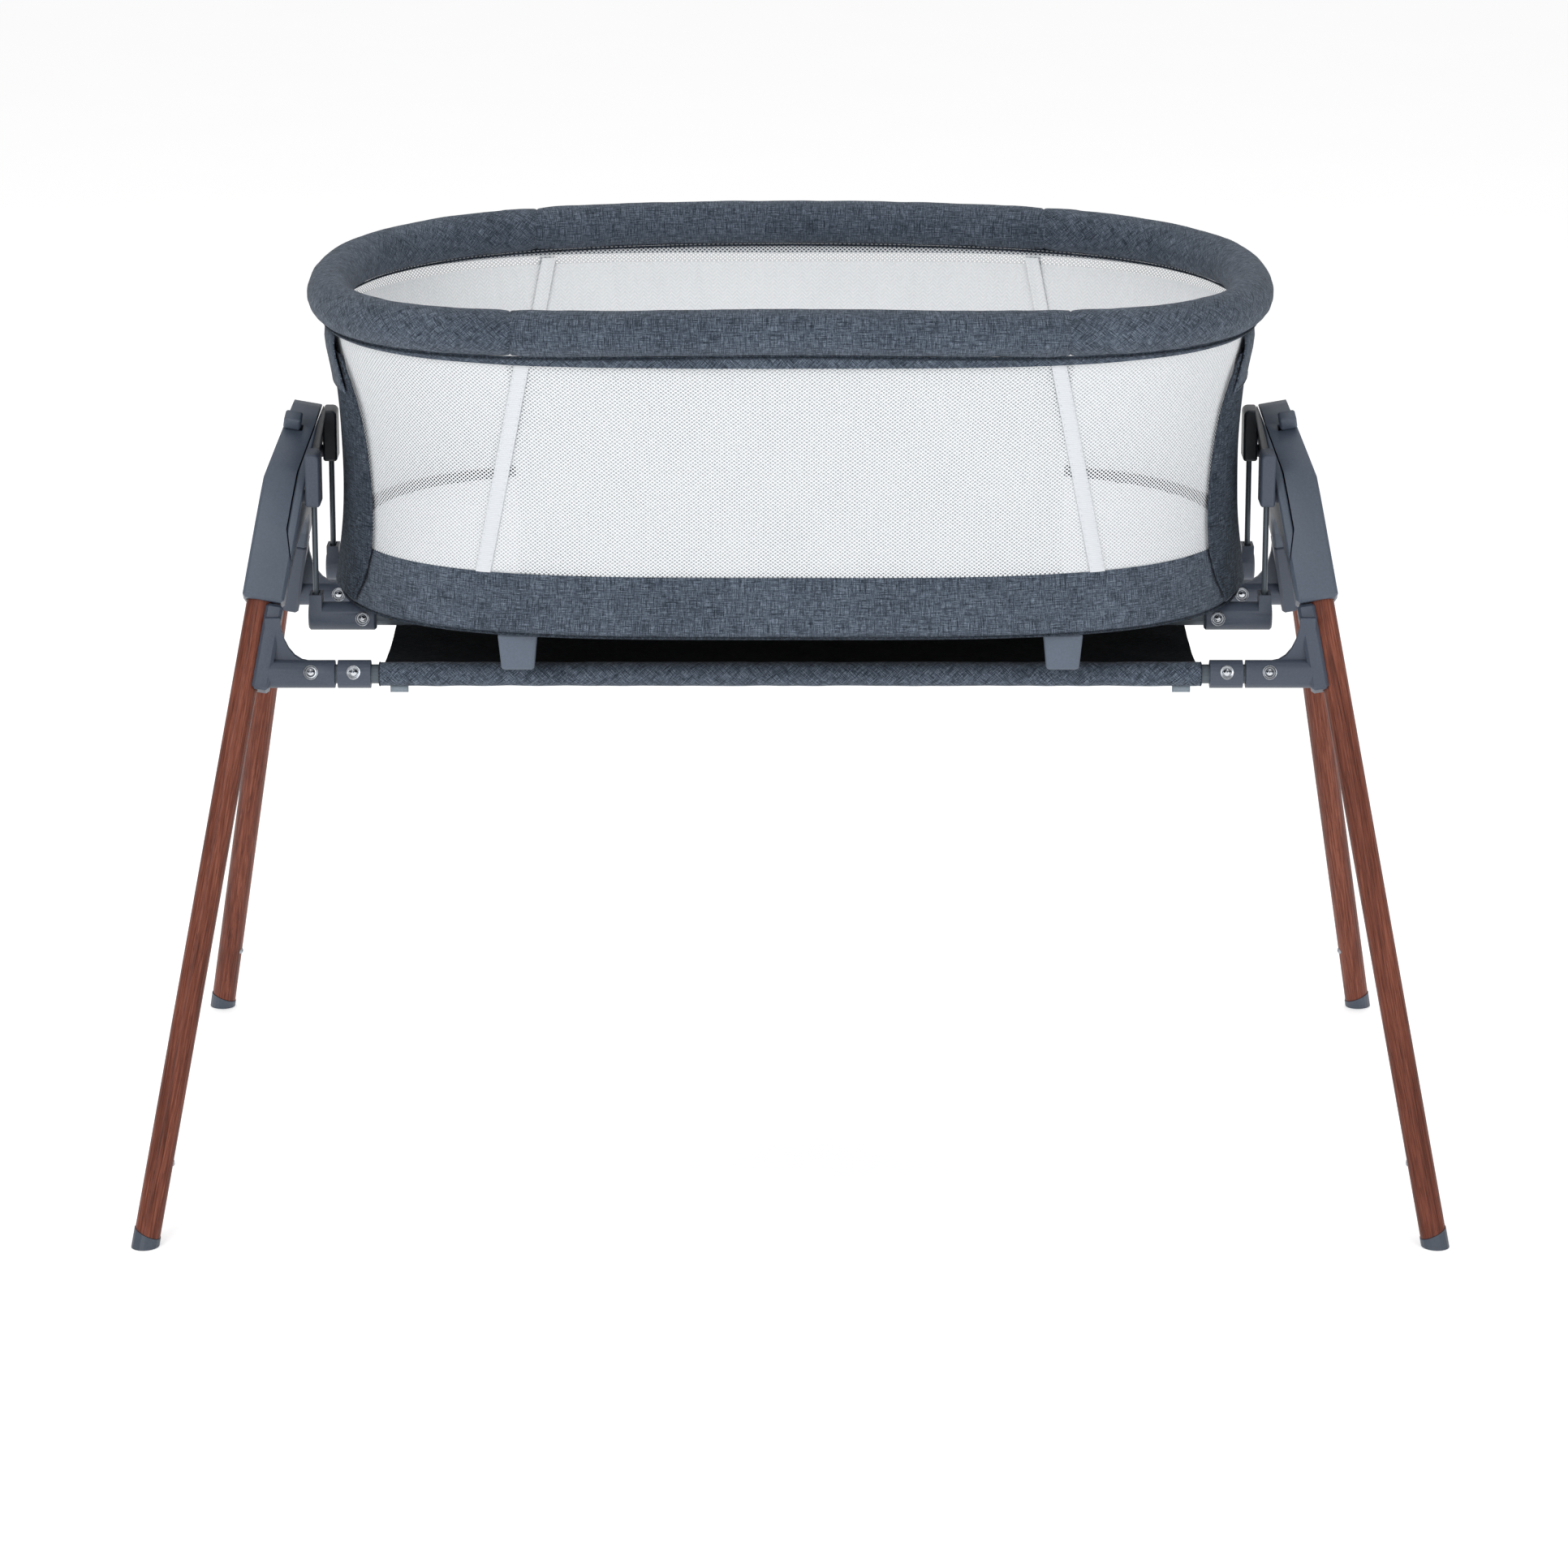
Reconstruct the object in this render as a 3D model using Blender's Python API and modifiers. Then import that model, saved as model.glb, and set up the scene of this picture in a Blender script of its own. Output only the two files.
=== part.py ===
"""Gliding bassinet on an A-frame stand.

Two A-frame ends lean towards each other. Each one is a pair of splayed legs whose tops
meet in an arched two-part housing. Corner brackets on the legs carry a front and a rear
rail with a storage sling between them. A steel rod hangs from each of four pivot covers
on the housings, and the four rods carry the bassinet, which glides from front to back.

Frame: +Z up, +X towards the right end, -Y towards the front. The origin is on the floor
at the middle of the stand. Units are metres.
"""
import bpy
import bmesh
from math import asin, atan, cos, pi, radians, sin, sqrt
from mathutils import Matrix, Vector

# ---- driving dimensions: stand -------------------------------------------------------
FOOT_X = 0.5286            # leg centre line at the floor
FOOT_Y = 0.3283
LEAN = 0.1771              # run of a leg along X for each metre of height
SPLAY = 0.4103             # run of a leg along Y for each metre of height
LEG_R = 0.0108
LEG_WALL = 0.0012
LEG_OVERLAP = 0.060        # length of leg inside its arch housing
FIT = 0.0003               # gap between touching pieces
WALL = 0.0025              # moulded cover wall

ARCH_TOP = 0.6465          # measured up the slope of the A-frame
ARCH_BASE = 0.5018
ARCH_HALF_WIDTH = 0.017    # half width of a housing branch
ARCH_GAP_TOP = 0.545       # crown of the opening between the branches
ARCH_OUT = 0.0145          # housing faces, from the plane of the A-frame
ARCH_IN = 0.0205
PARTING = 0.012            # the two covers meet here
PARTING_TAPER = (0.535, 0.565)   # below this the outer cover is as deep as both

RAIL_Z = 0.438
RAIL_Y = FOOT_Y - SPLAY * RAIL_Z
TUBE_R = 0.0081
TUBE_WALL = 0.0012
SLEEVE_R = 0.0117
SLEEVE_END = 0.3776
COLLAR_X = (0.3479, 0.3752)
RAIL_END = 0.425
BUTTON_X = 0.397
RAIL_BUTTON_TILT = radians(20)
BUTTON_R = 0.0034          # spring snap buttons
BUTTON_FOOT = 0.0060       # distances from the tube's axis
BUTTON_TOP = 0.0134
BUTTON_HOLE_R = BUTTON_R + FIT
RECESS_R = 0.0057
RECESS_DEPTH = 0.0012
SADDLE_X = (0.0060, 0.0205)      # corner bracket: saddle against the leg
SADDLE_HALF_Y = 0.0125
SADDLE_LOW = -0.0122
WEB_Y = (0.0015, 0.0075)
WEB_FOOT = (-0.0515, 0.0100)     # the web's hollow edge runs from here on the sleeve
WEB_TOP = 0.0470                 # up to here on the saddle
TOP_GAP = 0.0012           # between a bracket and the housing above it

# ---- driving dimensions: glide linkage -----------------------------------------------
ROD_X = 0.3968
ROD_Y = 0.0922
ROD_R = 0.0024
PIVOT_Z = 0.600
HANG_Z = 0.4742
EYE_R = 0.0045
PIN_R = 0.0020
SLOT_HALF = 0.0028
COVER_Z = (0.5698, 0.6146)
COVER_HALF_X = 0.0061
COVER_HALF_Y = 0.0145
COVER_ROUND = 0.0050       # upper corner away from the housing
COVER_CLEAR = 0.0005
BOSS_Z = 0.5765
BOSS_R = 0.0055
BOSS_END = 0.0135
EYE_HALF = SLOT_HALF - 0.0005
BRACKET_R = SLEEVE_R + 0.0002
BRACKET_END = 0.3466
BRACKET_OUTER_END = 0.4030
BRACKET_BUTTON_X = 0.3576
SOCKET_HALF_X = 0.0052
SOCKET_HALF_Y = 0.0105
SOCKET_TOP = 0.494
HANGER_END = 0.386

# ---- driving dimensions: bassinet ----------------------------------------------------
RIM_A = 0.3860             # half length and half width of the rim's centre line
RIM_B = 0.2645
RIM_POWER_X = 3.6          # roundness of the plan outline
RIM_POWER_Y = 2.35
RIM_Z = 0.7475
RIM_DROP = 0.0085          # the rim is lower at its ends
RIM_R = 0.0204
RIM_TUBE_R = 0.0095
TAIL_END = 0.0291          # lower edge of the rim cover, below the rim's centre line
TAIL_RISE = 0.0075         # less of it at the ends
WALL_LOW = 0.5402
BAND_LOW = 0.4872
BAND_TOP = 0.5397
CLOTH = 0.0018
PANEL_GAP = 0.0024         # clears the wall's flats
PANEL_SHAPE = ((0.5402, 0.133), (0.580, 0.137), (0.620, 0.138), (0.650, 0.136), (0.680, 0.126),
               (0.700, 0.110))   # end panels: height and half width
BOARD_Z = (0.4865, 0.4925)
MATTRESS_Z = (0.4930, 0.5350)
LOW_A = 0.3820
LOW_B = 0.2280
WALL_DRAW = 0.0122         # the mesh is drawn in at mid height of the ends
UNDER_FOOT_X = 0.2234
UNDER_FOOT_Y = 0.195
UNDER_FOOT_Z = 0.4550
UNDER_FOOT_LOW = (0.0133, 0.0090)      # half sizes at the tapered block's foot and top
UNDER_FOOT_TOP = (0.0163, 0.0115)
SADDLE_BLOCK_X = (0.295, 0.3354)       # blocks that hold the board to the hanger tubes
SADDLE_BLOCK_HALF_Y = 0.012
SLING_END = 0.3405
SLING_SAG = 0.010
SLING_THICK = 0.0016
SLING_SEAM = radians(14)

RIGHT, LEFT = 1, -1
FRONT, REAR = -1, 1
SIDE_NAME = {RIGHT: "right", LEFT: "left"}
ROW_NAME = {FRONT: "front", REAR: "rear"}

TILT = atan(LEAN)
SLOPE = SPLAY * cos(TILT)            # splay measured up the sloping plane
SPLAY_ANGLE = atan(SLOPE)
ZERO = Vector((0, 0, 0))
X_AXIS = Vector((1, 0, 0))
Y_AXIS = Vector((0, 1, 0))
Z_AXIS = Vector((0, 0, 1))


# ---- scene and materials ---------------------------------------------------------------
def clear_scene():
    for old in list(bpy.data.objects):
        bpy.data.objects.remove(old, do_unlink=True)


def new_collection(name):
    group = bpy.data.collections.new(name)
    bpy.context.scene.collection.children.link(group)
    return group


clear_scene()
PARTS = new_collection("bassinet_on_stand")
CUTTERS = new_collection("cutters")


def material(name, color, roughness, metallic=0.0):
    mat = bpy.data.materials.new(name)
    mat.use_nodes = True
    shader = mat.node_tree.nodes["Principled BSDF"]
    shader.inputs["Base Color"].default_value = (*color, 1.0)
    shader.inputs["Roughness"].default_value = roughness
    shader.inputs["Metallic"].default_value = metallic
    return mat


WOOD = material("wood_look_tube", (0.22, 0.06, 0.03), 0.4)
PLASTIC = material("slate_plastic", (0.09, 0.12, 0.15), 0.5)
PLASTIC_LIGHT = material("light_slate_plastic", (0.17, 0.21, 0.26), 0.5)
PLASTIC_BLACK = material("black_plastic", (0.02, 0.022, 0.025), 0.45)
STEEL = material("bright_steel", (0.75, 0.76, 0.78), 0.15, 1.0)
DARK_STEEL = material("slate_painted_steel", (0.08, 0.10, 0.12), 0.4, 0.3)
CHAMBRAY = material("grey_chambray", (0.12, 0.15, 0.20), 0.9)
MESH_CLOTH = material("white_mesh", (0.85, 0.86, 0.88), 0.8)
BOARD = material("fibre_board", (0.35, 0.30, 0.24), 0.8)
MATTRESS_CLOTH = material("mattress_cover", (0.86, 0.87, 0.88), 0.85)


# ---- building blocks -------------------------------------------------------------------
def add_object(name, mesh, group, mat=None, parent=None):
    obj = bpy.data.objects.new(name, mesh)
    group.objects.link(obj)
    obj.parent = parent
    if mat is not None:
        mesh.materials.clear()
        mesh.materials.append(mat)
    if group is CUTTERS:
        obj.hide_render = True
        obj.display_type = "WIRE"
    return obj


def to_mesh(name, bm):
    bmesh.ops.recalc_face_normals(bm, faces=bm.faces)
    mesh = bpy.data.meshes.new(name)
    bm.to_mesh(mesh)
    bm.free()
    return mesh


def cylinder_mesh(radius, start, end, segments=20):
    """A solid cylinder from start to end."""
    start = Vector(start)
    end = Vector(end)
    axis = end - start
    turn = Z_AXIS.rotation_difference(axis).to_matrix().to_4x4()
    middle = Matrix.Translation((start + end) / 2) @ turn
    bm = bmesh.new()
    bmesh.ops.create_cone(
        bm, cap_ends=True, segments=segments, radius1=radius, radius2=radius,
        depth=axis.length, matrix=middle)
    return to_mesh("cylinder", bm)


def box_mesh(low, high):
    low = Vector(low)
    high = Vector(high)
    size = high - low
    place = Matrix.Translation((low + high) / 2) @ Matrix.Diagonal((*size, 1.0))
    bm = bmesh.new()
    bmesh.ops.create_cube(bm, size=1.0, matrix=place)
    return to_mesh("box", bm)


def prism_mesh(outline, axis, start, end):
    """An outline in the plane across axis, extruded from start to end along it."""
    def corner(a, b, along):
        if axis == "X":
            return (along, a, b)
        if axis == "Y":
            return (a, along, b)
        return (a, b, along)

    bm = bmesh.new()
    base = bm.faces.new([bm.verts.new(corner(a, b, start)) for a, b in outline])
    top = bmesh.ops.extrude_face_region(bm, geom=[base])
    shift = Vector(corner(0, 0, end)) - Vector(corner(0, 0, start))
    moved = [item for item in top["geom"] if isinstance(item, bmesh.types.BMVert)]
    bmesh.ops.translate(bm, verts=moved, vec=shift)
    return to_mesh("prism", bm)


def loft_mesh(rings, closed_loop=False):
    """Joins rings of equal length; the ends are capped unless the rings form a loop."""
    bm = bmesh.new()
    rows = [[bm.verts.new(point) for point in ring] for ring in rings]
    pairs = list(zip(rows, rows[1:]))
    if closed_loop:
        pairs.append((rows[-1], rows[0]))
    for low, high in pairs:
        for i in range(len(low)):
            j = (i + 1) % len(low)
            bm.faces.new((low[i], low[j], high[j], high[i]))
    if not closed_loop:
        bm.faces.new(list(reversed(rows[0])))
        bm.faces.new(rows[-1])
    return to_mesh("loft", bm)


def add_bevel(obj, width, segments=2, angle=radians(40)):
    bevel = obj.modifiers.new("rounded_edges", "BEVEL")
    bevel.width = width
    bevel.segments = segments
    bevel.limit_method = "ANGLE"
    bevel.angle_limit = angle


def combine(obj, mesh, operation, bevel=0.0):
    """Joins a mesh to the object, or cuts it out, in the object's own frame."""
    tool = add_object(obj.name + "_" + operation.lower(), mesh, CUTTERS, parent=obj)
    if bevel:
        add_bevel(tool, bevel)
    step = obj.modifiers.new(operation.lower(), "BOOLEAN")
    step.operation = operation
    step.solver = "EXACT"
    step.object = tool


def join(obj, mesh, bevel=0.0):
    combine(obj, mesh, "UNION", bevel)


def cut(obj, mesh):
    combine(obj, mesh, "DIFFERENCE")


def finished_mesh(obj):
    """The object's mesh with its modifiers applied, in its own frame; the guide goes."""
    bpy.context.view_layer.update()
    graph = bpy.context.evaluated_depsgraph_get()
    mesh = bpy.data.meshes.new_from_object(obj.evaluated_get(graph))
    bm = bmesh.new()
    bm.from_mesh(mesh)
    bmesh.ops.remove_doubles(bm, verts=bm.verts, dist=0.00001)
    bmesh.ops.dissolve_limit(bm, angle_limit=radians(0.5), verts=bm.verts, edges=bm.edges)
    bm.to_mesh(mesh)
    bm.free()
    bpy.data.objects.remove(obj, do_unlink=True)
    return mesh


def mirrored(mesh):
    """The mesh mirrored to the other end of the bassinet, with its faces still outward."""
    bm = bmesh.new()
    bm.from_mesh(mesh)
    bmesh.ops.transform(bm, matrix=Matrix.Diagonal((-1.0, 1.0, 1.0, 1.0)), verts=bm.verts)
    bmesh.ops.reverse_faces(bm, faces=bm.faces)
    copy = bpy.data.meshes.new(mesh.name + "_mirrored")
    bm.to_mesh(copy)
    bm.free()
    return copy


def shade(mesh, angle=radians(35)):
    mesh.shade_smooth()
    mesh.set_sharp_from_angle(angle=angle)


def guide(name, mesh):
    return add_object(name + "_guide", mesh, CUTTERS)


def add_empty(name, location, rotation=(0, 0, 0), parent=None):
    empty = bpy.data.objects.new(name, None)
    PARTS.objects.link(empty)
    empty.location = location
    empty.rotation_euler = rotation
    empty.parent = parent
    return empty


def place_pair(name, mesh, mat, location, parents=None, rotation=(0, 0, 0)):
    """The right-hand piece and its mirror image at the left end."""
    shade(mesh)
    meshes = {RIGHT: mesh, LEFT: mirrored(mesh)}
    shade(meshes[LEFT])
    for side in (LEFT, RIGHT):
        piece = add_object(name + "_" + SIDE_NAME[side], meshes[side], PARTS, mat)
        piece.location = (side * location[0], location[1], location[2])
        piece.rotation_euler = (rotation[0], side * rotation[1], side * rotation[2])
        if parents is not None:
            piece.parent = parents[side]


# ---- the A-frame ends ------------------------------------------------------------------
END_FRAME = {
    side: add_empty("end_frame_" + SIDE_NAME[side], (side * FOOT_X, 0, 0), (0, -side * TILT, 0))
    for side in (LEFT, RIGHT)}


def leg_point(distance, across=0.0, row=REAR):
    """A point of the end frame (Y, Z) a distance up the leg from the housing's base."""
    base_y = FOOT_Y - SLOPE * ARCH_BASE
    y = base_y - distance * sin(SPLAY_ANGLE) + across * cos(SPLAY_ANGLE)
    z = ARCH_BASE + distance * cos(SPLAY_ANGLE) + across * sin(SPLAY_ANGLE)
    return (row * y, z)


def arch_radius():
    rise = ARCH_TOP - ARCH_BASE
    base_y = FOOT_Y - SLOPE * ARCH_BASE
    reach = ARCH_HALF_WIDTH + base_y * cos(SPLAY_ANGLE) - rise * sin(SPLAY_ANGLE)
    return reach / (1 - sin(SPLAY_ANGLE))


ARCH_R = arch_radius()
ARCH_CENTRE = ARCH_TOP - ARCH_R


def arch_outline(inset=0.0, arc_steps=12, gap_steps=10):
    """Outline of a housing in the end frame's YZ plane, drawn in by inset."""
    half = ARCH_HALF_WIDTH - inset
    points = [leg_point(inset, half)]
    for i in range(arc_steps + 1):
        angle = SPLAY_ANGLE + (pi - 2 * SPLAY_ANGLE) * i / arc_steps
        radius = ARCH_R - inset
        points.append((radius * cos(angle), ARCH_CENTRE + radius * sin(angle)))
    points.append(leg_point(inset, half, FRONT))
    corner_y, corner_z = leg_point(inset, -half)
    rise = ARCH_GAP_TOP + inset - corner_z
    for i in range(gap_steps + 1):
        angle = pi - pi * i / gap_steps
        points.append((corner_y * cos(angle), corner_z + rise * sin(angle)))
    return points


def leg_axis(start, end, row):
    """Two points on the leg's centre line, distances up from the housing's base."""
    return (0, *leg_point(start, 0, row)), (0, *leg_point(end, 0, row))


def leg_channel(row):
    half = ARCH_HALF_WIDTH - WALL
    low, high = 0.003, LEG_OVERLAP + 0.003
    corners = [leg_point(low, -half, row), leg_point(low, half, row),
               leg_point(high, half, row), leg_point(high, -half, row)]
    return prism_mesh(corners, "X", -ARCH_IN + WALL, LEG_R + 0.0006)


SLIDER_ANGLE = asin(0.048 / ARCH_R)          # place of the lock slider round the crown
SLIDER_TRAVEL = 0.006
SLIDER_HALF = 0.0072
SLIDER_HEIGHT = 0.0112
STEM_HALF = (0.0025, 0.0040)                 # the slider's stem, in its slot
STEM_LOW = -0.0075
SLOT_CLEAR = 0.0005


def on_crown(mesh):
    """Turns a mesh built at the origin, +Z out of the surface, onto the crown."""
    turn = Matrix.Rotation(SLIDER_ANGLE, 4, "X")
    spot = Vector((0, -ARCH_R * sin(SLIDER_ANGLE), ARCH_CENTRE + ARCH_R * cos(SLIDER_ANGLE)))
    mesh.transform(Matrix.Translation(spot) @ turn)
    return mesh


def arch_outer_cover():
    body = guide("arch_outer", prism_mesh(arch_outline(), "X", -ARCH_IN, ARCH_OUT))
    add_bevel(body, 0.0025, 1)
    high = ARCH_TOP + 0.03
    shoulder = [(ARCH_OUT + 0.001, ARCH_TOP - 0.051), (0.004, ARCH_TOP + 0.0035), (0.004, high),
                (0.04, high), (0.04, ARCH_TOP - 0.051)]
    cut(body, prism_mesh(shoulder, "Y", -0.2, 0.2))
    parting = [(-ARCH_IN - 0.001, PARTING_TAPER[0]), (-PARTING, PARTING_TAPER[1]),
               (-PARTING, ARCH_TOP - 0.039), (-0.0195, ARCH_TOP + 0.0015), (-0.0195, high),
               (-0.05, high), (-0.05, PARTING_TAPER[0])]
    cut(body, prism_mesh(parting, "Y", -0.2, 0.2))
    cut(body, prism_mesh(arch_outline(0.003), "X", -ARCH_IN + WALL, 0.002))
    for row in (FRONT, REAR):
        cut(body, leg_channel(row))
        cut(body, cylinder_mesh(LEG_R + 0.0005, *leg_axis(-0.02, 0.02, row)))
    slot_x, slot_y = (half + SLOT_CLEAR for half in STEM_HALF)
    cut(body, on_crown(box_mesh((-slot_x - SLIDER_TRAVEL, -slot_y, STEM_LOW - SLOT_CLEAR),
                                (slot_x, slot_y, 0.004))))
    return finished_mesh(body)


def arch_inner_cover():
    body = guide("arch_inner", prism_mesh(arch_outline(0.0008), "X", -ARCH_IN, -PARTING - 0.001))
    add_bevel(body, 0.0012, 1)
    shoulder = ARCH_TOP - 0.0392
    above = [(-PARTING - 0.001, shoulder), (-ARCH_IN, ARCH_TOP + 0.001), (-ARCH_IN, ARCH_TOP + 0.03),
             (0.02, ARCH_TOP + 0.03), (0.02, shoulder)]
    low, high = PARTING_TAPER
    below = [(-PARTING - 0.001, high), (-ARCH_IN - 0.002, low), (-ARCH_IN - 0.002, 0.40),
             (0.02, 0.40), (0.02, high)]
    for outline in (above, below):
        cut(body, prism_mesh(outline, "Y", -0.2, 0.2))
    cut(body, prism_mesh(arch_outline(0.0008 + WALL), "X", -ARCH_IN + WALL, 0.02))
    to_local = (Matrix.Translation((FOOT_X, 0, 0)) @ Matrix.Rotation(-TILT, 4, "Y")).inverted()
    for row in (FRONT, REAR):
        y = row * ROD_Y
        recess = box_mesh(
            (ROD_X - 0.03, y - COVER_HALF_Y - COVER_CLEAR, COVER_Z[0] - COVER_CLEAR),
            (ROD_X + COVER_HALF_X + COVER_CLEAR, y + COVER_HALF_Y + COVER_CLEAR,
             COVER_Z[1] + COVER_CLEAR))
        bore = cylinder_mesh(BOSS_R + FIT, (0.38, y, BOSS_Z), (0.42, y, BOSS_Z), 14)
        for tool in (recess, bore):
            tool.transform(to_local)
            cut(body, tool)
    return finished_mesh(body)


def lock_slider():
    cap = guide("lock_slider", box_mesh(
        (-SLIDER_HALF, -SLIDER_HALF, FIT), (SLIDER_HALF, SLIDER_HALF, SLIDER_HEIGHT)))
    add_bevel(cap, 0.0018, 2)
    stem_x, stem_y = STEM_HALF
    join(cap, box_mesh((-stem_x, -stem_y, STEM_LOW), (stem_x, stem_y, 0.0020)))
    return finished_mesh(cap)


def build_arches():
    place_pair("arch_outer_cover", arch_outer_cover(), PLASTIC, (0, 0, 0), END_FRAME)
    place_pair("arch_inner_cover", arch_inner_cover(), PLASTIC, (0, 0, 0), END_FRAME)
    spot = (0, -ARCH_R * sin(SLIDER_ANGLE), ARCH_CENTRE + ARCH_R * cos(SLIDER_ANGLE))
    place_pair("lock_slider", lock_slider(), PLASTIC, spot, END_FRAME, (SLIDER_ANGLE, 0, 0))


# ---- legs and foot caps ----------------------------------------------------------------
LEG_TOP = (ARCH_BASE / cos(SPLAY_ANGLE)) + LEG_OVERLAP      # length from floor to leg top
CAP_SLOPE = 0.45           # the cap stands higher on its outer side


def leg_frame_direction(row):
    """The leg's direction in the world, for the right-hand end."""
    return Vector((-LEAN, -row * SPLAY, 1.0)).normalized()


def tube_mesh(radius, wall, length, segments=20):
    """A turned tube along +Z: its outer wall, closed by rings to its inner wall."""
    bm = bmesh.new()
    profile = ((radius, length), (radius, 0.0), (radius - wall, 0.0), (radius - wall, length))
    verts = [bm.verts.new((r, 0, z)) for r, z in profile]
    for i in range(4):
        bm.edges.new((verts[i], verts[(i + 1) % 4]))
    bmesh.ops.spin(
        bm, geom=bm.verts[:] + bm.edges[:], cent=ZERO, axis=Z_AXIS, angle=2 * pi,
        steps=segments, use_merge=True)
    bmesh.ops.remove_doubles(bm, verts=bm.verts, dist=0.00001)
    return to_mesh("tube", bm)


def foot_cut(row, offset):
    """A slab below the slanted joint between a leg and its cap, in the world frame."""
    foot = Vector((FOOT_X, row * FOOT_Y, 0.0))
    low_side = Vector((-FOOT_X, 0, 0)).normalized()
    normal = (Z_AXIS - low_side * -CAP_SLOPE).normalized()
    turn = Z_AXIS.rotation_difference(normal).to_matrix().to_4x4()
    slab = box_mesh((-0.05, -0.05, -0.10), (0.05, 0.05, 0.0))
    slab.transform(Matrix.Translation(foot + Z_AXIS * (0.0115 + offset)) @ turn)
    return slab


def leg_world(row):
    direction = leg_frame_direction(row)
    turn = Z_AXIS.rotation_difference(direction).to_matrix().to_4x4()
    return Matrix.Translation((FOOT_X, row * FOOT_Y, 0.0)) @ turn


def build_legs():
    for row in (FRONT, REAR):
        place = leg_world(row)
        back = place.inverted()
        name = ROW_NAME[row]

        leg = guide("leg", tube_mesh(LEG_R, LEG_WALL, LEG_TOP))
        end = foot_cut(row, 0.0)
        end.transform(back)
        cut(leg, end)
        leg_mesh = finished_mesh(leg)

        cap = guide("foot_cap", cylinder_mesh(LEG_R + 0.0006, (0, 0, -0.02), (0, 0, 0.03), 20))
        floor = box_mesh((-0.1, -0.1, -0.1), (0.1, 0.1, 0.0))
        floor.transform(back @ Matrix.Translation((FOOT_X, row * FOOT_Y, 0.0)))
        cut(cap, floor)
        above = foot_cut(row, -FIT)
        above.transform(back)
        step = cap.modifiers.new("below_joint", "BOOLEAN")
        step.operation = "INTERSECT"
        step.object = add_object("foot_cap_limit", above, CUTTERS, parent=cap)
        join(cap, cylinder_mesh(LEG_R - LEG_WALL - FIT, (0, 0, 0.006), (0, 0, 0.030), 12))
        cap_mesh = finished_mesh(cap)

        axis = leg_frame_direction(row)
        turn = Z_AXIS.rotation_difference(axis).to_euler()
        spot = (FOOT_X, row * FOOT_Y, 0.0)
        place_pair("leg_" + name, leg_mesh, WOOD, spot, None, tuple(turn))
        place_pair("foot_cap_" + name, cap_mesh, PLASTIC, spot, None, tuple(turn))


# ---- rails, corner brackets and storage sling ------------------------------------------
def leg_at(z, row):
    return Vector((FOOT_X - LEAN * z, row * (FOOT_Y - SPLAY * z), z))


def button_direction(row):
    """Snap buttons face the front; those of the front rail look up a little."""
    tilt = RAIL_BUTTON_TILT if row == FRONT else 0.0
    return Vector((0, -cos(tilt), sin(tilt)))


def button_hole(obj, centre, direction, surface):
    """A hole for a snap button and the shallow round recess about it."""
    outside = centre + direction * 0.02
    cut(obj, cylinder_mesh(BUTTON_HOLE_R, centre, outside, 12))
    cut(obj, cylinder_mesh(RECESS_R, centre + direction * (surface - RECESS_DEPTH), outside, 16))


def corner_bracket(row):
    """Saddle against the leg, sleeve for the rail and the web between them."""
    origin = leg_at(RAIL_Z, row)
    up = leg_frame_direction(row)
    inward = Vector((-cos(TILT), 0, -sin(TILT)))
    across = up.cross(inward).normalized()
    frame = Matrix((inward, across, up)).transposed().to_4x4()

    top = (ARCH_BASE * cos(TILT) - RAIL_Z) / up.z - TOP_GAP
    saddle = box_mesh((SADDLE_X[0], -SADDLE_HALF_Y, SADDLE_LOW), (SADDLE_X[1], SADDLE_HALF_Y, top))
    saddle.transform(frame)
    body = guide("corner_bracket", saddle)
    add_bevel(body, 0.0025, 1)
    sleeve_length = origin.x - SLEEVE_END
    join(body, cylinder_mesh(SLEEVE_R, (-0.012, 0, 0), (-sleeve_length, 0, 0), 22))
    lean_in = (SADDLE_X[1] - 0.001) / cos(TILT)
    foot_x, foot_z = WEB_FOOT
    reach = -lean_in - LEAN * WEB_TOP - foot_x
    web = [(-lean_in + 0.004, 0.0), (foot_x, 0.0)]
    for i in range(7):
        angle = pi / 2 * i / 6
        web.append((foot_x + reach * sin(angle), foot_z + (WEB_TOP - foot_z) * (1 - cos(angle))))
    web.append((-lean_in + 0.004, WEB_TOP))
    join(body, prism_mesh(web, "Y", -row * WEB_Y[0], -row * WEB_Y[1]))
    cut(body, cylinder_mesh(LEG_R + FIT, -up * 0.1, up * 0.2, 24))
    cut(body, cylinder_mesh(TUBE_R + FIT, (-0.0105, 0, 0), (-0.2, 0, 0), 16))
    centre = Vector((BUTTON_X - origin.x, 0, 0))
    button_hole(body, centre, button_direction(row), SLEEVE_R)
    return finished_mesh(body)


def rail_tube(half_length, button_x, direction, mat, name, location):
    """A hollow tube along X with a hole near each end for its snap button."""
    mesh = tube_mesh(TUBE_R, TUBE_WALL, 2 * half_length, 16)
    mesh.transform(Matrix.Rotation(pi / 2, 4, "Y") @ Matrix.Translation((0, 0, -half_length)))
    tube = guide(name, mesh)
    for side in (LEFT, RIGHT):
        centre = Vector((side * button_x, 0, 0))
        cut(tube, cylinder_mesh(BUTTON_HOLE_R, centre, centre + direction * 0.02, 12))
    mesh = finished_mesh(tube)
    shade(mesh)
    add_object(name, mesh, PARTS, mat).location = location


def collar():
    mesh = tube_mesh(SLEEVE_R, SLEEVE_R - TUBE_R - FIT, COLLAR_X[1] - COLLAR_X[0], 22)
    mesh.transform(Matrix.Rotation(pi / 2, 4, "Y"))
    return mesh


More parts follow.
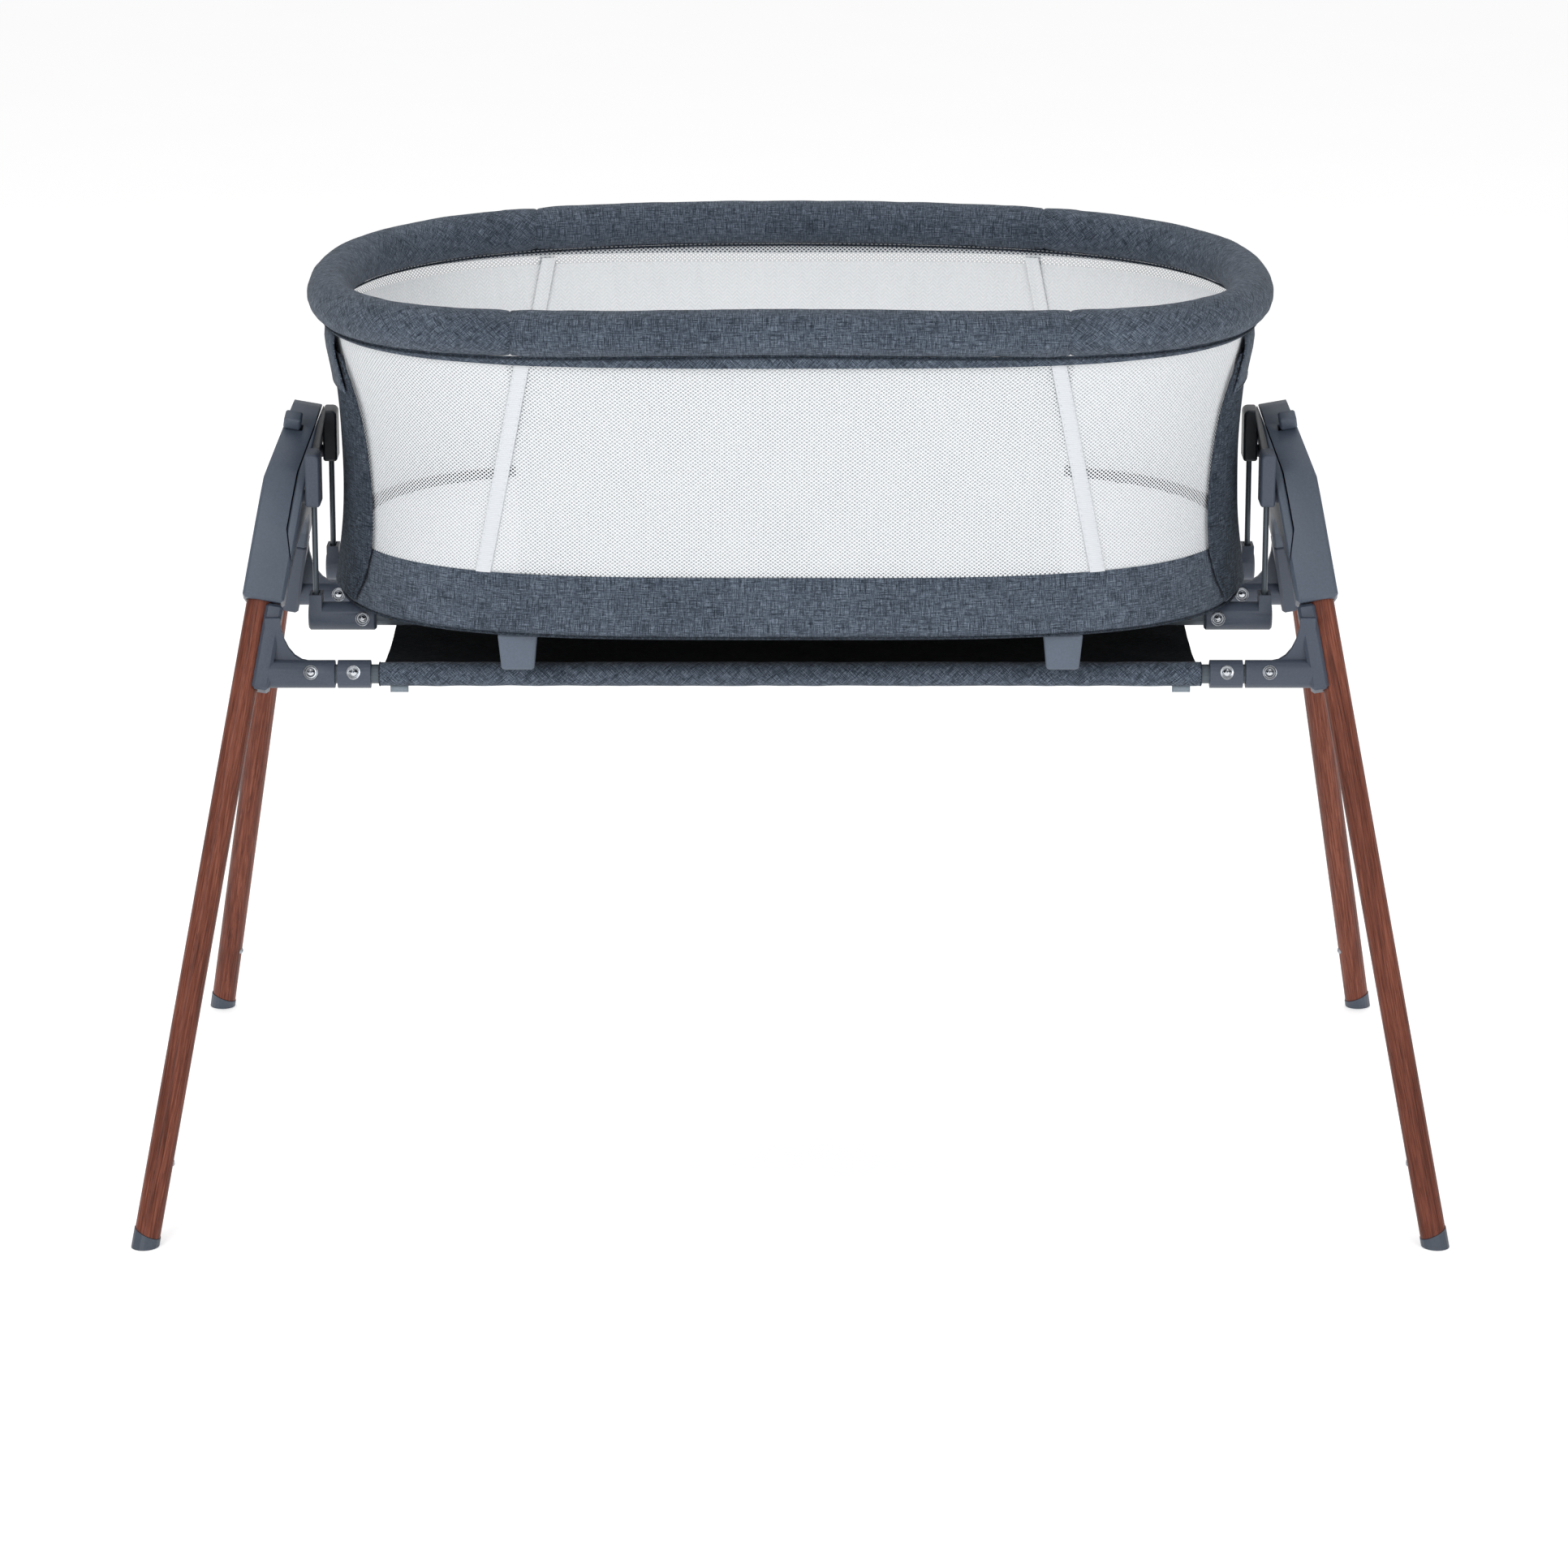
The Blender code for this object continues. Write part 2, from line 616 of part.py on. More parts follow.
def snap_button():
    """A domed steel button along +Z, its foot inside the tube."""
    bm = bmesh.new()
    shoulder = BUTTON_TOP - BUTTON_R
    dome = [(BUTTON_R * cos(a), shoulder + BUTTON_R * sin(a)) for a in (radians(60), radians(30), 0.0)]
    profile = [(0.0, BUTTON_TOP)] + dome + [(BUTTON_R, BUTTON_FOOT), (0.0, BUTTON_FOOT)]
    verts = [bm.verts.new((r, 0, z)) for r, z in profile]
    for low, high in zip(verts, verts[1:]):
        bm.edges.new((low, high))
    bmesh.ops.spin(
        bm, geom=bm.verts[:] + bm.edges[:], cent=ZERO, axis=Z_AXIS, angle=2 * pi, steps=12,
        use_merge=True)
    bmesh.ops.remove_doubles(bm, verts=bm.verts, dist=0.00001)
    return to_mesh("snap_button", bm)


def storage_sling():
    """Sheet between the rails, with an open-seamed tunnel round each rail."""
    steps = 8
    sag = SLING_SAG
    thick = SLING_THICK
    seam = SLING_SEAM
    inner = TUBE_R + FIT
    outer = inner + thick

    def tunnel(centre_y, radius, start, end, count):
        angles = [start + (end - start) * i / count for i in range(count + 1)]
        return [(centre_y + radius * cos(a), radius * sin(a)) for a in angles]

    half = RAIL_Y - sqrt(outer ** 2 - thick ** 2 / 4)
    spans = [-half + 2 * half * i / steps for i in range(1, steps)]
    top = [(y, thick / 2 - sag * (1 - (y / half) ** 2)) for y in spans]
    low = [(y, z - thick) for y, z in top]
    root = asin(thick / 2 / outer)
    slit = 1.5 * pi
    rear_out = tunnel(RAIL_Y, outer, pi - root, -pi / 2 + seam, 12)
    rear_in = tunnel(RAIL_Y, inner, -pi / 2 + seam, pi + pi / 2 - seam, 14)
    rear_low = tunnel(RAIL_Y, outer, slit - seam, pi + root, 3)
    front_low = tunnel(-RAIL_Y, outer, -root, -pi / 2 + seam, 3)
    front_in = tunnel(-RAIL_Y, inner, -pi / 2 + seam, pi + pi / 2 - seam, 14)
    front_out = tunnel(-RAIL_Y, outer, slit - seam, root, 12)
    outline = top + rear_out + rear_in + rear_low + low[::-1] + front_low + front_in + front_out
    return prism_mesh(outline, "X", -SLING_END, SLING_END)


def build_rails():
    button = snap_button()
    for row in (FRONT, REAR):
        name = ROW_NAME[row]
        bracket_spot = leg_at(RAIL_Z, row)
        place_pair("corner_bracket_" + name, corner_bracket(row), PLASTIC, bracket_spot)
        place_pair("rail_collar_" + name, collar(), PLASTIC, (COLLAR_X[0], row * RAIL_Y, RAIL_Z))
        rail_tube(RAIL_END, BUTTON_X, button_direction(row), DARK_STEEL, name + "_rail",
                  (0, row * RAIL_Y, RAIL_Z))
        turn = Z_AXIS.rotation_difference(button_direction(row)).to_euler()
        place_pair("rail_button_" + name, button.copy(), STEEL, (BUTTON_X, row * RAIL_Y, RAIL_Z),
                   None, tuple(turn))
    sling = storage_sling()
    shade(sling)
    add_object("storage_sling", sling, PARTS, CHAMBRAY).location = (0, 0, RAIL_Z)


# ---- glide linkage ---------------------------------------------------------------------
def pivot_cover():
    """Housing for a rod's upper eye: box, cross pin, slot below and boss to the arch."""
    low = COVER_Z[0] - PIVOT_Z
    high = COVER_Z[1] - PIVOT_Z
    outline = [(-COVER_HALF_X, low), (COVER_HALF_X, low), (COVER_HALF_X, high)]
    for i in range(6):
        angle = pi / 2 + pi / 2 * i / 5
        outline.append((-COVER_HALF_X + COVER_ROUND * (1 + cos(angle)),
                        high - COVER_ROUND * (1 - sin(angle))))
    body = guide("pivot_cover", prism_mesh(outline, "Y", -COVER_HALF_Y, COVER_HALF_Y))
    add_bevel(body, 0.0015, 1)
    boss_z = BOSS_Z - PIVOT_Z
    join(body, cylinder_mesh(BOSS_R, (COVER_HALF_X - 0.001, 0, boss_z), (BOSS_END, 0, boss_z), 14))
    slot = [(-0.0110, low - 0.002), (0.0110, low - 0.002), (0.0062, 0.0), (0.0056, 0.0056),
            (-0.0056, 0.0056), (-0.0062, 0.0)]
    cut(body, prism_mesh(slot, "X", -SLOT_HALF, SLOT_HALF))
    join(body, cylinder_mesh(PIN_R, (-SLOT_HALF - 0.001, 0, 0), (SLOT_HALF + 0.001, 0, 0), 10))
    return finished_mesh(body)


def swing_rod():
    """Round rod hanging from the origin, with an eye at each end."""
    length = PIVOT_Z - HANG_Z
    body = guide("swing_rod", cylinder_mesh(ROD_R, (0, 0, -0.003), (0, 0, 0.003 - length), 10))
    for z in (0.0, -length):
        join(body, cylinder_mesh(EYE_R, (-EYE_HALF, 0, z), (EYE_HALF, 0, z), 16))
    for z in (0.0, -length):
        cut(body, cylinder_mesh(PIN_R + FIT, (-0.01, 0, z), (0.01, 0, z), 10))
    return finished_mesh(body)


def hanger_bracket():
    """Sleeve on the hanger tube's end with the upright socket for a rod's lower eye."""
    body = guide("hanger_bracket", cylinder_mesh(
        BRACKET_R, (BRACKET_END - ROD_X, 0, 0), (BRACKET_OUTER_END - ROD_X, 0, 0), 22))
    add_bevel(body, 0.0015, 1)
    join(body, box_mesh((-SOCKET_HALF_X, -SOCKET_HALF_Y, 0.0),
                        (SOCKET_HALF_X, SOCKET_HALF_Y, SOCKET_TOP - HANG_Z)))
    cut(body, cylinder_mesh(TUBE_R + FIT, (BRACKET_END - ROD_X - 0.01, 0, 0), (-0.0085, 0, 0), 16))
    top = SOCKET_TOP - HANG_Z + 0.002
    slot = [(-0.0056, -0.0056), (0.0056, -0.0056), (0.0058, 0.004), (0.0084, top), (-0.0084, top),
            (-0.0058, 0.004)]
    cut(body, prism_mesh(slot, "X", -SLOT_HALF, SLOT_HALF))
    join(body, cylinder_mesh(PIN_R, (-SLOT_HALF - 0.001, 0, 0), (SLOT_HALF + 0.001, 0, 0), 10))
    centre = Vector((BRACKET_BUTTON_X - ROD_X, 0, 0))
    button_hole(body, centre, -Y_AXIS, BRACKET_R)
    return finished_mesh(body)


def build_linkage():
    cover = pivot_cover()
    rod = swing_rod()
    bracket = hanger_bracket()
    button = snap_button()
    turn = Z_AXIS.rotation_difference(-Y_AXIS).to_euler()
    for row in (FRONT, REAR):
        name = ROW_NAME[row]
        y = row * ROD_Y
        place_pair("pivot_cover_" + name, cover.copy(), PLASTIC_BLACK, (ROD_X, y, PIVOT_Z))
        place_pair("swing_rod_" + name, rod.copy(), DARK_STEEL, (ROD_X, y, PIVOT_Z))
        place_pair("hanger_bracket_" + name, bracket.copy(), PLASTIC, (ROD_X, y, HANG_Z))
        place_pair("hanger_button_" + name, button.copy(), STEEL, (BRACKET_BUTTON_X, y, HANG_Z),
                   None, tuple(turn))
        rail_tube(HANGER_END, BRACKET_BUTTON_X, -Y_AXIS, DARK_STEEL, "hanger_tube_" + name,
                  (0, y, HANG_Z))


# ---- bassinet --------------------------------------------------------------------------
LOOP_STEPS = 40


def plan_point(a, b, step, steps=LOOP_STEPS):
    """A point of the bassinet's rounded plan outline, in its own XY plane."""
    angle = 2 * pi * step / steps
    c = abs(cos(angle))
    s = abs(sin(angle))
    reach = 1.0
    for _ in range(12):
        value = (reach * c) ** RIM_POWER_X + (reach * s) ** RIM_POWER_Y
        slope = (RIM_POWER_X * c * (reach * c) ** (RIM_POWER_X - 1)
                 + RIM_POWER_Y * s * (reach * s) ** (RIM_POWER_Y - 1))
        reach -= (value - 1.0) / slope
    return (a * reach * cos(angle), b * reach * sin(angle))


def rim_height(x):
    return RIM_Z - RIM_DROP * abs(x / RIM_A) ** 1.5


def tail_end(x):
    """How far the rim cover's lower edge hangs below the rim's centre line."""
    return TAIL_END - TAIL_RISE * abs(x / RIM_A) ** 1.3


def rim_section(section):
    """Sweeps a closed section (outward offset, height) round the rim's centre line.

    A height of None stands for the lower edge of the cover's tail.
    """
    rings = []
    for step in range(LOOP_STEPS):
        x, y = plan_point(RIM_A, RIM_B, step)
        before = Vector(plan_point(RIM_A, RIM_B, step - 1))
        after = Vector(plan_point(RIM_A, RIM_B, step + 1))
        along = (after - before).normalized()
        out = Vector((along.y, -along.x))
        z = rim_height(x)
        ring = []
        for a, b in section:
            height = -tail_end(x) if b is None else b
            ring.append((x + out.x * a, y + out.y * a, z + height))
        rings.append(ring)
    return loft_mesh(rings, closed_loop=True)


def rim_cover():
    """Padded cover round the rim tube; its two edges hang down as a tail, open between."""
    tail = 0.0017
    slit = 0.0004
    bore = (RIM_TUBE_R + FIT) / cos(pi / 8)
    outer_gap = asin(tail / RIM_R)
    inner_gap = asin(slit / bore)
    outer = []
    for i in range(13):
        angle = -pi / 2 + outer_gap + (2 * pi - 2 * outer_gap) * i / 12
        outer.append((RIM_R * cos(angle), RIM_R * sin(angle)))
    inner = []
    for i in range(9):
        angle = -pi / 2 + inner_gap + (2 * pi - 2 * inner_gap) * i / 8
        inner.append((bore * cos(angle), bore * sin(angle)))
    section = [(tail, None)] + outer + [(-tail, None), (-slit, None)] + inner[::-1]
    section.append((slit, None))
    return rim_section(section)


def rim_frame():
    section = [(RIM_TUBE_R * cos(pi * i / 4), RIM_TUBE_R * sin(pi * i / 4)) for i in range(8)]
    return rim_section(section)


def wall_half_length(z):
    """Half length of the cloth wall: drawn in a little at mid height."""
    up = (z - BAND_LOW) / (RIM_Z - TAIL_END - BAND_LOW)
    straight = LOW_A + (RIM_A - LOW_A) * up
    return straight - WALL_DRAW * 4 * up * (1 - up)


def wall_half_width(z):
    up = (z - BAND_LOW) / (RIM_Z - TAIL_END - BAND_LOW)
    return LOW_B + (RIM_B - LOW_B) * up


def wall_ring(z_of, offset):
    """A ring of the wall; z_of gives the height at a place round the outline."""
    ring = []
    for step in range(LOOP_STEPS):
        x = plan_point(RIM_A, RIM_B, step)[0]
        z = z_of(x)
        ring.append((*plan_point(wall_half_length(z) + offset, wall_half_width(z) + offset, step), z))
    return ring


def cloth_ring(levels, thick):
    """A closed band of cloth through the given levels, its outer face on the outline."""
    outside = [wall_ring(level, 0.0) for level in levels]
    inside = [wall_ring(level, -thick) for level in levels]
    return loft_mesh(outside + inside[::-1], closed_loop=True)


def mesh_wall():
    def level(share):
        return lambda x: WALL_LOW + (rim_height(x) - tail_end(x) - FIT - WALL_LOW) * share
    return cloth_ring([level(i / 4) for i in range(5)], CLOTH)


def lower_band():
    return cloth_ring([lambda x: BAND_LOW, lambda x: BAND_TOP], CLOTH)


def end_panel():
    """Cloth panel over the wall at one end, with an S-shaped edge to front and rear."""
    rows = []
    count = 8
    for z, half in PANEL_SHAPE:
        a = wall_half_length(z)
        b = wall_half_width(z)
        row = []
        for i in range(-count, count + 1):
            y = half * i / count
            x = a * (1 - abs(y / b) ** RIM_POWER_Y) ** (1 / RIM_POWER_X)
            row.append((x, y, z))
        rows.append(row)

    def pushed(row, offset):
        moved = []
        for i, (x, y, z) in enumerate(row):
            low = Vector(row[max(i - 1, 0)])
            high = Vector(row[min(i + 1, len(row) - 1)])
            along = high - low
            out = Vector((along.y, -along.x)).normalized()
            moved.append((x + out.x * offset, y + out.y * offset, z))
        return moved

    rings = [pushed(row, PANEL_GAP) + pushed(row, PANEL_GAP + CLOTH)[::-1] for row in rows]
    return loft_mesh(rings)


def base_board():
    outline = [plan_point(LOW_A - 0.0045, LOW_B - 0.0045, i) for i in range(LOOP_STEPS)]
    body = guide("base_board", prism_mesh(outline, "Z", *BOARD_Z))
    for side in (LEFT, RIGHT):
        for row in (FRONT, REAR):
            y = row * ROD_Y
            ends = sorted(side * x for x in SADDLE_BLOCK_X)
            join(body, box_mesh((ends[0], y - SADDLE_BLOCK_HALF_Y, HANG_Z - 0.001),
                                (ends[1], y + SADDLE_BLOCK_HALF_Y, BOARD_Z[0] + 0.001)))
    for row in (FRONT, REAR):
        start = (-0.4, row * ROD_Y, HANG_Z)
        cut(body, cylinder_mesh(TUBE_R + FIT, start, (0.4, row * ROD_Y, HANG_Z), 20))
    return finished_mesh(body)


def mattress():
    rings = []
    low, high = MATTRESS_Z
    for z, inset in ((low, 0.012), (low + 0.010, 0.007), (high - 0.012, 0.007), (high, 0.016)):
        a = LOW_A - CLOTH - inset
        b = LOW_B - CLOTH - inset
        rings.append([(*plan_point(a, b, i), z) for i in range(LOOP_STEPS)])
    return loft_mesh(rings)


def under_foot():
    """Tapered block under the bassinet, for when it stands on the floor by itself."""
    top = BOARD_Z[0] - FIT
    rings = []
    for z, (half_x, half_y) in ((UNDER_FOOT_Z, UNDER_FOOT_LOW), (top, UNDER_FOOT_TOP)):
        rings.append([(-half_x, -half_y, z), (half_x, -half_y, z), (half_x, half_y, z),
                      (-half_x, half_y, z)])
    body = guide("under_foot", loft_mesh(rings))
    add_bevel(body, 0.0025, 2)
    return finished_mesh(body)


def build_bassinet():
    single = (("rim_cover", rim_cover(), CHAMBRAY), ("rim_frame", rim_frame(), DARK_STEEL),
              ("mesh_wall", mesh_wall(), MESH_CLOTH), ("lower_band", lower_band(), CHAMBRAY),
              ("base_board", base_board(), BOARD), ("mattress", mattress(), MATTRESS_CLOTH))
    for name, mesh, mat in single:
        shade(mesh, radians(50))
        add_object(name, mesh, PARTS, mat)
    place_pair("end_panel", end_panel(), CHAMBRAY, (0, 0, 0))
    foot = under_foot()
    for row in (FRONT, REAR):
        place_pair("under_foot_" + ROW_NAME[row], foot.copy(), PLASTIC_LIGHT,
                   (UNDER_FOOT_X, row * UNDER_FOOT_Y, 0))


build_arches()
build_legs()
build_rails()
build_linkage()
build_bassinet()
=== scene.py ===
"""Looks of the gliding bassinet on its A-frame stand.

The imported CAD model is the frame: its nodes keep their places and get procedural
materials, and the soft goods and the small bright parts are built here on its bodies.
Units are metres, +Z up, -Y towards the front.
"""

from math import atan2, cos, exp, hypot, pi, radians, sin, sqrt

import bmesh
import bpy
from mathutils import Matrix, Vector, noise
from mathutils.kdtree import KDTree


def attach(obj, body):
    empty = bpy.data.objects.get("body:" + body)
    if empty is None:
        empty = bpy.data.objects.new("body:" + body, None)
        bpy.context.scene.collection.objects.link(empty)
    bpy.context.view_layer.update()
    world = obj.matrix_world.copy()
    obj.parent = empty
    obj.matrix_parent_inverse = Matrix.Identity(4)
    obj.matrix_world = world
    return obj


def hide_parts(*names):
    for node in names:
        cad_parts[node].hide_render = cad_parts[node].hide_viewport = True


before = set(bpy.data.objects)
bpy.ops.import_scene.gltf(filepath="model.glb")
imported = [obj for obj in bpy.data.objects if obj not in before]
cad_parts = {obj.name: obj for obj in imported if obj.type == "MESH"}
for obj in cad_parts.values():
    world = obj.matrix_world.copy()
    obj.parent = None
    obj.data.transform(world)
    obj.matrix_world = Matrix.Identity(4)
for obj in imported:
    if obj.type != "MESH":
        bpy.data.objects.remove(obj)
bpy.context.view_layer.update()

SIDES = {"left": -1, "right": 1}
ROWS = {"front": -1, "rear": 1}
CORNERS = [(r, row, s, side) for r, row in ROWS.items() for s, side in SIDES.items()]

# ---- dimensions shared with the CAD solids ----
RIM_A, RIM_B = 0.3860, 0.2645  # half length and half width of the rim's centre line
POWER_X, POWER_Y = 3.6, 2.35  # the outline is |x/a|^POWER_X + |y/b|^POWER_Y = 1
RIM_Z, RIM_DROP = 0.7475, 0.0085  # the rim's height at the middle, and how much the ends are lower
RIM_R = 0.0204
TAIL_END, TAIL_RISE = 0.0291, 0.0075  # the binding's edge under the rim line, and its rise at the ends
WALL_LOW = 0.5402
BAND_LOW = 0.4872
LOW_A, LOW_B = 0.3820, 0.2280  # half length and half width at the band's lower edge
WALL_DRAW = 0.0103  # how far the wall's waist is drawn in at the ends
RAIL_Y, RAIL_Z = 0.14859, 0.438
ROD_Y, HANG_Z = 0.0922, 0.4742
LEAN, SPLAY = 0.1771, 0.4103  # the leg's run along x and along y for each metre of height
FOOT_X, FOOT_Y = 0.5286, 0.3283

# ---- dimensions of the soft goods ----
SEAM_X = 0.224  # cross seams of the rim cover
BINDING_TOP = -0.0180
MESH_TOP = 0.0195  # the mesh's upper edge under the rim line
TAPE_HALF = 0.0062
TAPE_TOP, TAPE_LOW = 0.7185, 0.5398
TAPE_TOP_X, TAPE_LOW_X = 0.2147, 0.2501
STITCH_INSET = 0.0046  # rows of stitches on each side of a tape's middle
LINER_X, LINER_END_Y = 0.232, 0.085  # where the front liner and the rear liner stop
PAD_GAP = 0.0018  # between the mattress and the band
QUILT_PITCH, QUILT_DEPTH, QUILT_WIDTH = 0.085, 0.0016, 0.004
PAD_LOW, PAD_TOP = 0.4930, 0.5358
END_LOW, END_TOP = 0.4935, 0.7000
FLAP_HALF, FLAP_SPREAD = 0.104, 0.12
SLING_HALF, SLING_SAG = 0.3405, 0.010
SLEEVE_R, HEM_R = 0.0100, 0.0096
SLEEVE_STEPS = 24

# ---- places of the bright parts ----
RAIL_DOME_X, HANGER_DOME_X, RIVET_X = 0.397, 0.3576, 0.3617
RAIL_TILT = 20  # degrees upwards, of the front rail's domes
SCREW_RISE = 0.062
DOME_R, DOME_Z = 0.0034, 0.0100


# ---- materials ----
class Look:
    """A Principled material with helpers to add and join nodes."""

    def __init__(self, name, color, roughness, metallic=0.0):
        self.mat = bpy.data.materials.new(name)
        self.mat.use_nodes = True
        self.tree = self.mat.node_tree
        self.shader = self.tree.nodes["Principled BSDF"]
        self.shader.inputs["Base Color"].default_value = (*color, 1.0)
        self.shader.inputs["Roughness"].default_value = roughness
        self.shader.inputs["Metallic"].default_value = metallic

    def node(self, kind, inputs=(), **settings):
        made = self.tree.nodes.new(kind)
        for key, value in settings.items():
            setattr(made, key, value)
        for key, value in dict(inputs).items():
            if isinstance(value, bpy.types.NodeSocket):
                self.tree.links.new(value, made.inputs[key])
            else:
                made.inputs[key].default_value = value
        return made

    def math(self, operation, a, b=0.0):
        return self.node("ShaderNodeMath", {0: a, 1: b}, operation=operation).outputs[0]

    def weighted(self, *parts):
        """The sum of (source, weight) pairs."""
        shares = [self.math("MULTIPLY", source, weight) for source, weight in parts]
        total = shares[0]
        for share in shares[1:]:
            total = self.math("ADD", total, share)
        return total

    def place(self, source, scale=(1, 1, 1), turn=(0, 0, 0)):
        return self.node("ShaderNodeMapping", {
            "Vector": source, "Scale": scale, "Rotation": turn}).outputs[0]

    def flat(self):
        return self.node("ShaderNodeUVMap", uv_map="weave").outputs[0]

    def world(self):
        return self.node("ShaderNodeTexCoord").outputs["Object"]

    def noise(self, source, scale, detail=2.0, roughness=0.5):
        return self.node("ShaderNodeTexNoise", {
            "Vector": source, "Scale": scale, "Detail": detail, "Roughness": roughness}).outputs[0]

    def ramp(self, source, stops):
        made = self.node("ShaderNodeValToRGB", {"Fac": source})
        elements = made.color_ramp.elements
        while len(elements) < len(stops):
            elements.new(0.5)
        for element, (place, color) in zip(elements, stops):
            element.position = place
            element.color = (*color, 1.0)
        return made.outputs[0]

    def grey(self, source, low, high, start=0.0, end=1.0):
        return self.node("ShaderNodeMapRange", {
            "Value": source, "From Min": low, "From Max": high,
            "To Min": start, "To Max": end}).outputs[0]

    def set(self, socket, value):
        if isinstance(value, bpy.types.NodeSocket):
            self.tree.links.new(value, self.shader.inputs[socket])
        else:
            self.shader.inputs[socket].default_value = value

    def color(self, source, stops):
        self.set("Base Color", self.ramp(source, stops))

    def bump(self, height, distance, strength=1.0):
        made = self.node("ShaderNodeBump", {
            "Height": height, "Distance": distance, "Strength": strength})
        self.set("Normal", made.outputs[0])


def chambray(name, turn, dark=1.0, sheen=0.08):
    """Two-tone heathered cloth: light slubs and dark gaps over a fine plain weave."""
    look = Look(name, (0.10, 0.13, 0.17), 0.92)
    flat = look.flat()
    woven = look.place(flat, turn=(0, 0, turn))

    def threads(along, across, detail=2.0, roughness=0.6):
        return [look.noise(look.place(woven, scale), 1.0, detail, roughness)
                for scale in ((along, across, 1), (across, along, 1))]

    slubs = look.math("MAXIMUM", *threads(140, 1400))
    gaps = look.math("MINIMUM", *threads(56, 1450))
    fine = look.weighted(*((thin, 0.5) for thin in threads(500, 2300, 1.0, 0.5)))
    patches = look.noise(flat, 14.0, 2.0)
    tone = look.weighted((slubs, 0.42), (gaps, 0.46), (fine, 0.16), (patches, 0.05))
    stops = [(0.43, (0.008, 0.012, 0.017)), (0.50, (0.030, 0.040, 0.056)),
             (0.56, (0.070, 0.090, 0.120)), (0.63, (0.180, 0.216, 0.272))]
    # dark scales every colour down; the sling and cord copies use it for painted shade
    look.color(tone, [(p, tuple(c * dark for c in rgb)) for p, rgb in stops])
    look.set("Sheen Weight", sheen)
    look.set("Sheen Roughness", 0.5)
    look.set("Specular IOR Level", 0.12)
    look.bump(look.math("ADD", slubs, fine), 0.0006, 0.8)
    return look.mat


def lattice(look, flat, pitch_u, pitch_v):
    """Distance to the nearest point of a staggered lattice, in shares of the pitch."""
    grid = look.place(flat, (1 / pitch_u, 1 / pitch_v, 1))
    near = []
    half = (0.5, 0.5, 0.0)
    for shift in ((0.0, 0.0, 0.0), half):
        spot = grid
        for operation, inputs in (("ADD", {1: shift}), ("FRACTION", {}), ("SUBTRACT", {1: half})):
            spot = look.node("ShaderNodeVectorMath", {0: spot, **inputs}, operation=operation).outputs[0]
        length = look.node("ShaderNodeVectorMath", {0: spot}, operation="LENGTH")
        near.append(length.outputs["Value"])
    return look.math("MINIMUM", *near)


def open_mesh(name, hole, clear):
    """White knitted mesh with small round holes in staggered rows; the holes keep a faint dark grey
    fill, painted shade seen through them.
    """
    look = Look(name, (0.83, 0.85, 0.88), 0.75)
    flat = look.flat()
    distance = lattice(look, flat, 0.0040, 0.0031)
    cloth = look.grey(distance, hole - 0.05, hole + 0.05)
    yarn = look.noise(look.place(flat, (900, 1400, 1)), 1.0, 1.0)
    tint = look.ramp(yarn, [(0.3, (0.68, 0.70, 0.72)), (0.7, (0.82, 0.835, 0.85))])
    # painted shade: the holes get this dark grey at the clear alpha, standing in for the shade behind
    # the mesh
    mixed = look.node("ShaderNodeMix", {"Factor": cloth, "A": (0.26, 0.29, 0.33, 1.0), "B": tint},
                      data_type="RGBA")
    look.set("Base Color", mixed.outputs["Result"])
    look.set("Alpha", look.grey(cloth, 0.0, 1.0, clear, 1.0))
    look.set("Sheen Weight", 0.1)
    look.bump(look.math("ADD", distance, look.math("MULTIPLY", yarn, 0.3)), 0.0004, 0.6)
    return look.mat


def liner_cloth():
    """White knit with a faint herringbone."""
    look = Look("white_liner", (0.88, 0.90, 0.92), 0.85)
    flat = look.flat()
    parts = look.node("ShaderNodeSeparateXYZ", {"Vector": flat}).outputs
    zigzag = look.math("PINGPONG", parts[0], 0.0042)
    phase = look.math("MULTIPLY", look.math("ADD", parts[1], zigzag), 2 * pi / 0.0032)
    knit = look.grey(look.math("SINE", phase), -1.0, 1.0)
    waves = look.noise(look.place(flat, (60, 18, 1)), 1.0, 2.0)
    tone = look.weighted((knit, 0.5), (waves, 0.4))
    look.color(tone, [(0.15, (0.82, 0.84, 0.86)), (0.6, (0.93, 0.94, 0.95))])
    look.bump(knit, 0.0005, 0.7)
    return look.mat


def quilted_cover():
    """The mattress's soft white knit."""
    look = Look("mattress_cover", (0.88, 0.89, 0.91), 0.85)
    place = look.world()
    knit = look.noise(look.place(place, (1500, 700, 700)), 1.0, 1.0)
    soft = look.noise(place, 30.0, 3.0)
    look.color(look.weighted((knit, 0.5), (soft, 0.5)), [
        (0.35, (0.78, 0.80, 0.83)), (0.65, (0.90, 0.91, 0.93))])
    look.set("Sheen Weight", 0.2)
    look.bump(look.math("ADD", knit, soft), 0.0006, 0.7)
    return look.mat


def tape_cloth():
    """White ribbed webbing."""
    look = Look("white_tape", (0.72, 0.75, 0.78), 0.7)
    ribs = look.node("ShaderNodeTexWave", {"Vector": look.flat(), "Scale": 260.0},
                     bands_direction="Y").outputs["Fac"]
    look.color(ribs, [(0.0, (0.58, 0.61, 0.64)), (1.0, (0.70, 0.72, 0.75))])
    look.bump(ribs, 0.0003, 0.5)
    return look.mat


def thread(name, color):
    """Twisted sewing thread."""
    look = Look(name, color, 0.6)
    twist = look.noise(look.world(), 2500.0, 1.0)
    look.color(twist, [(0.3, tuple(c * 0.7 for c in color)), (0.7, color)])
    look.bump(twist, 0.0002, 0.5)
    return look.mat


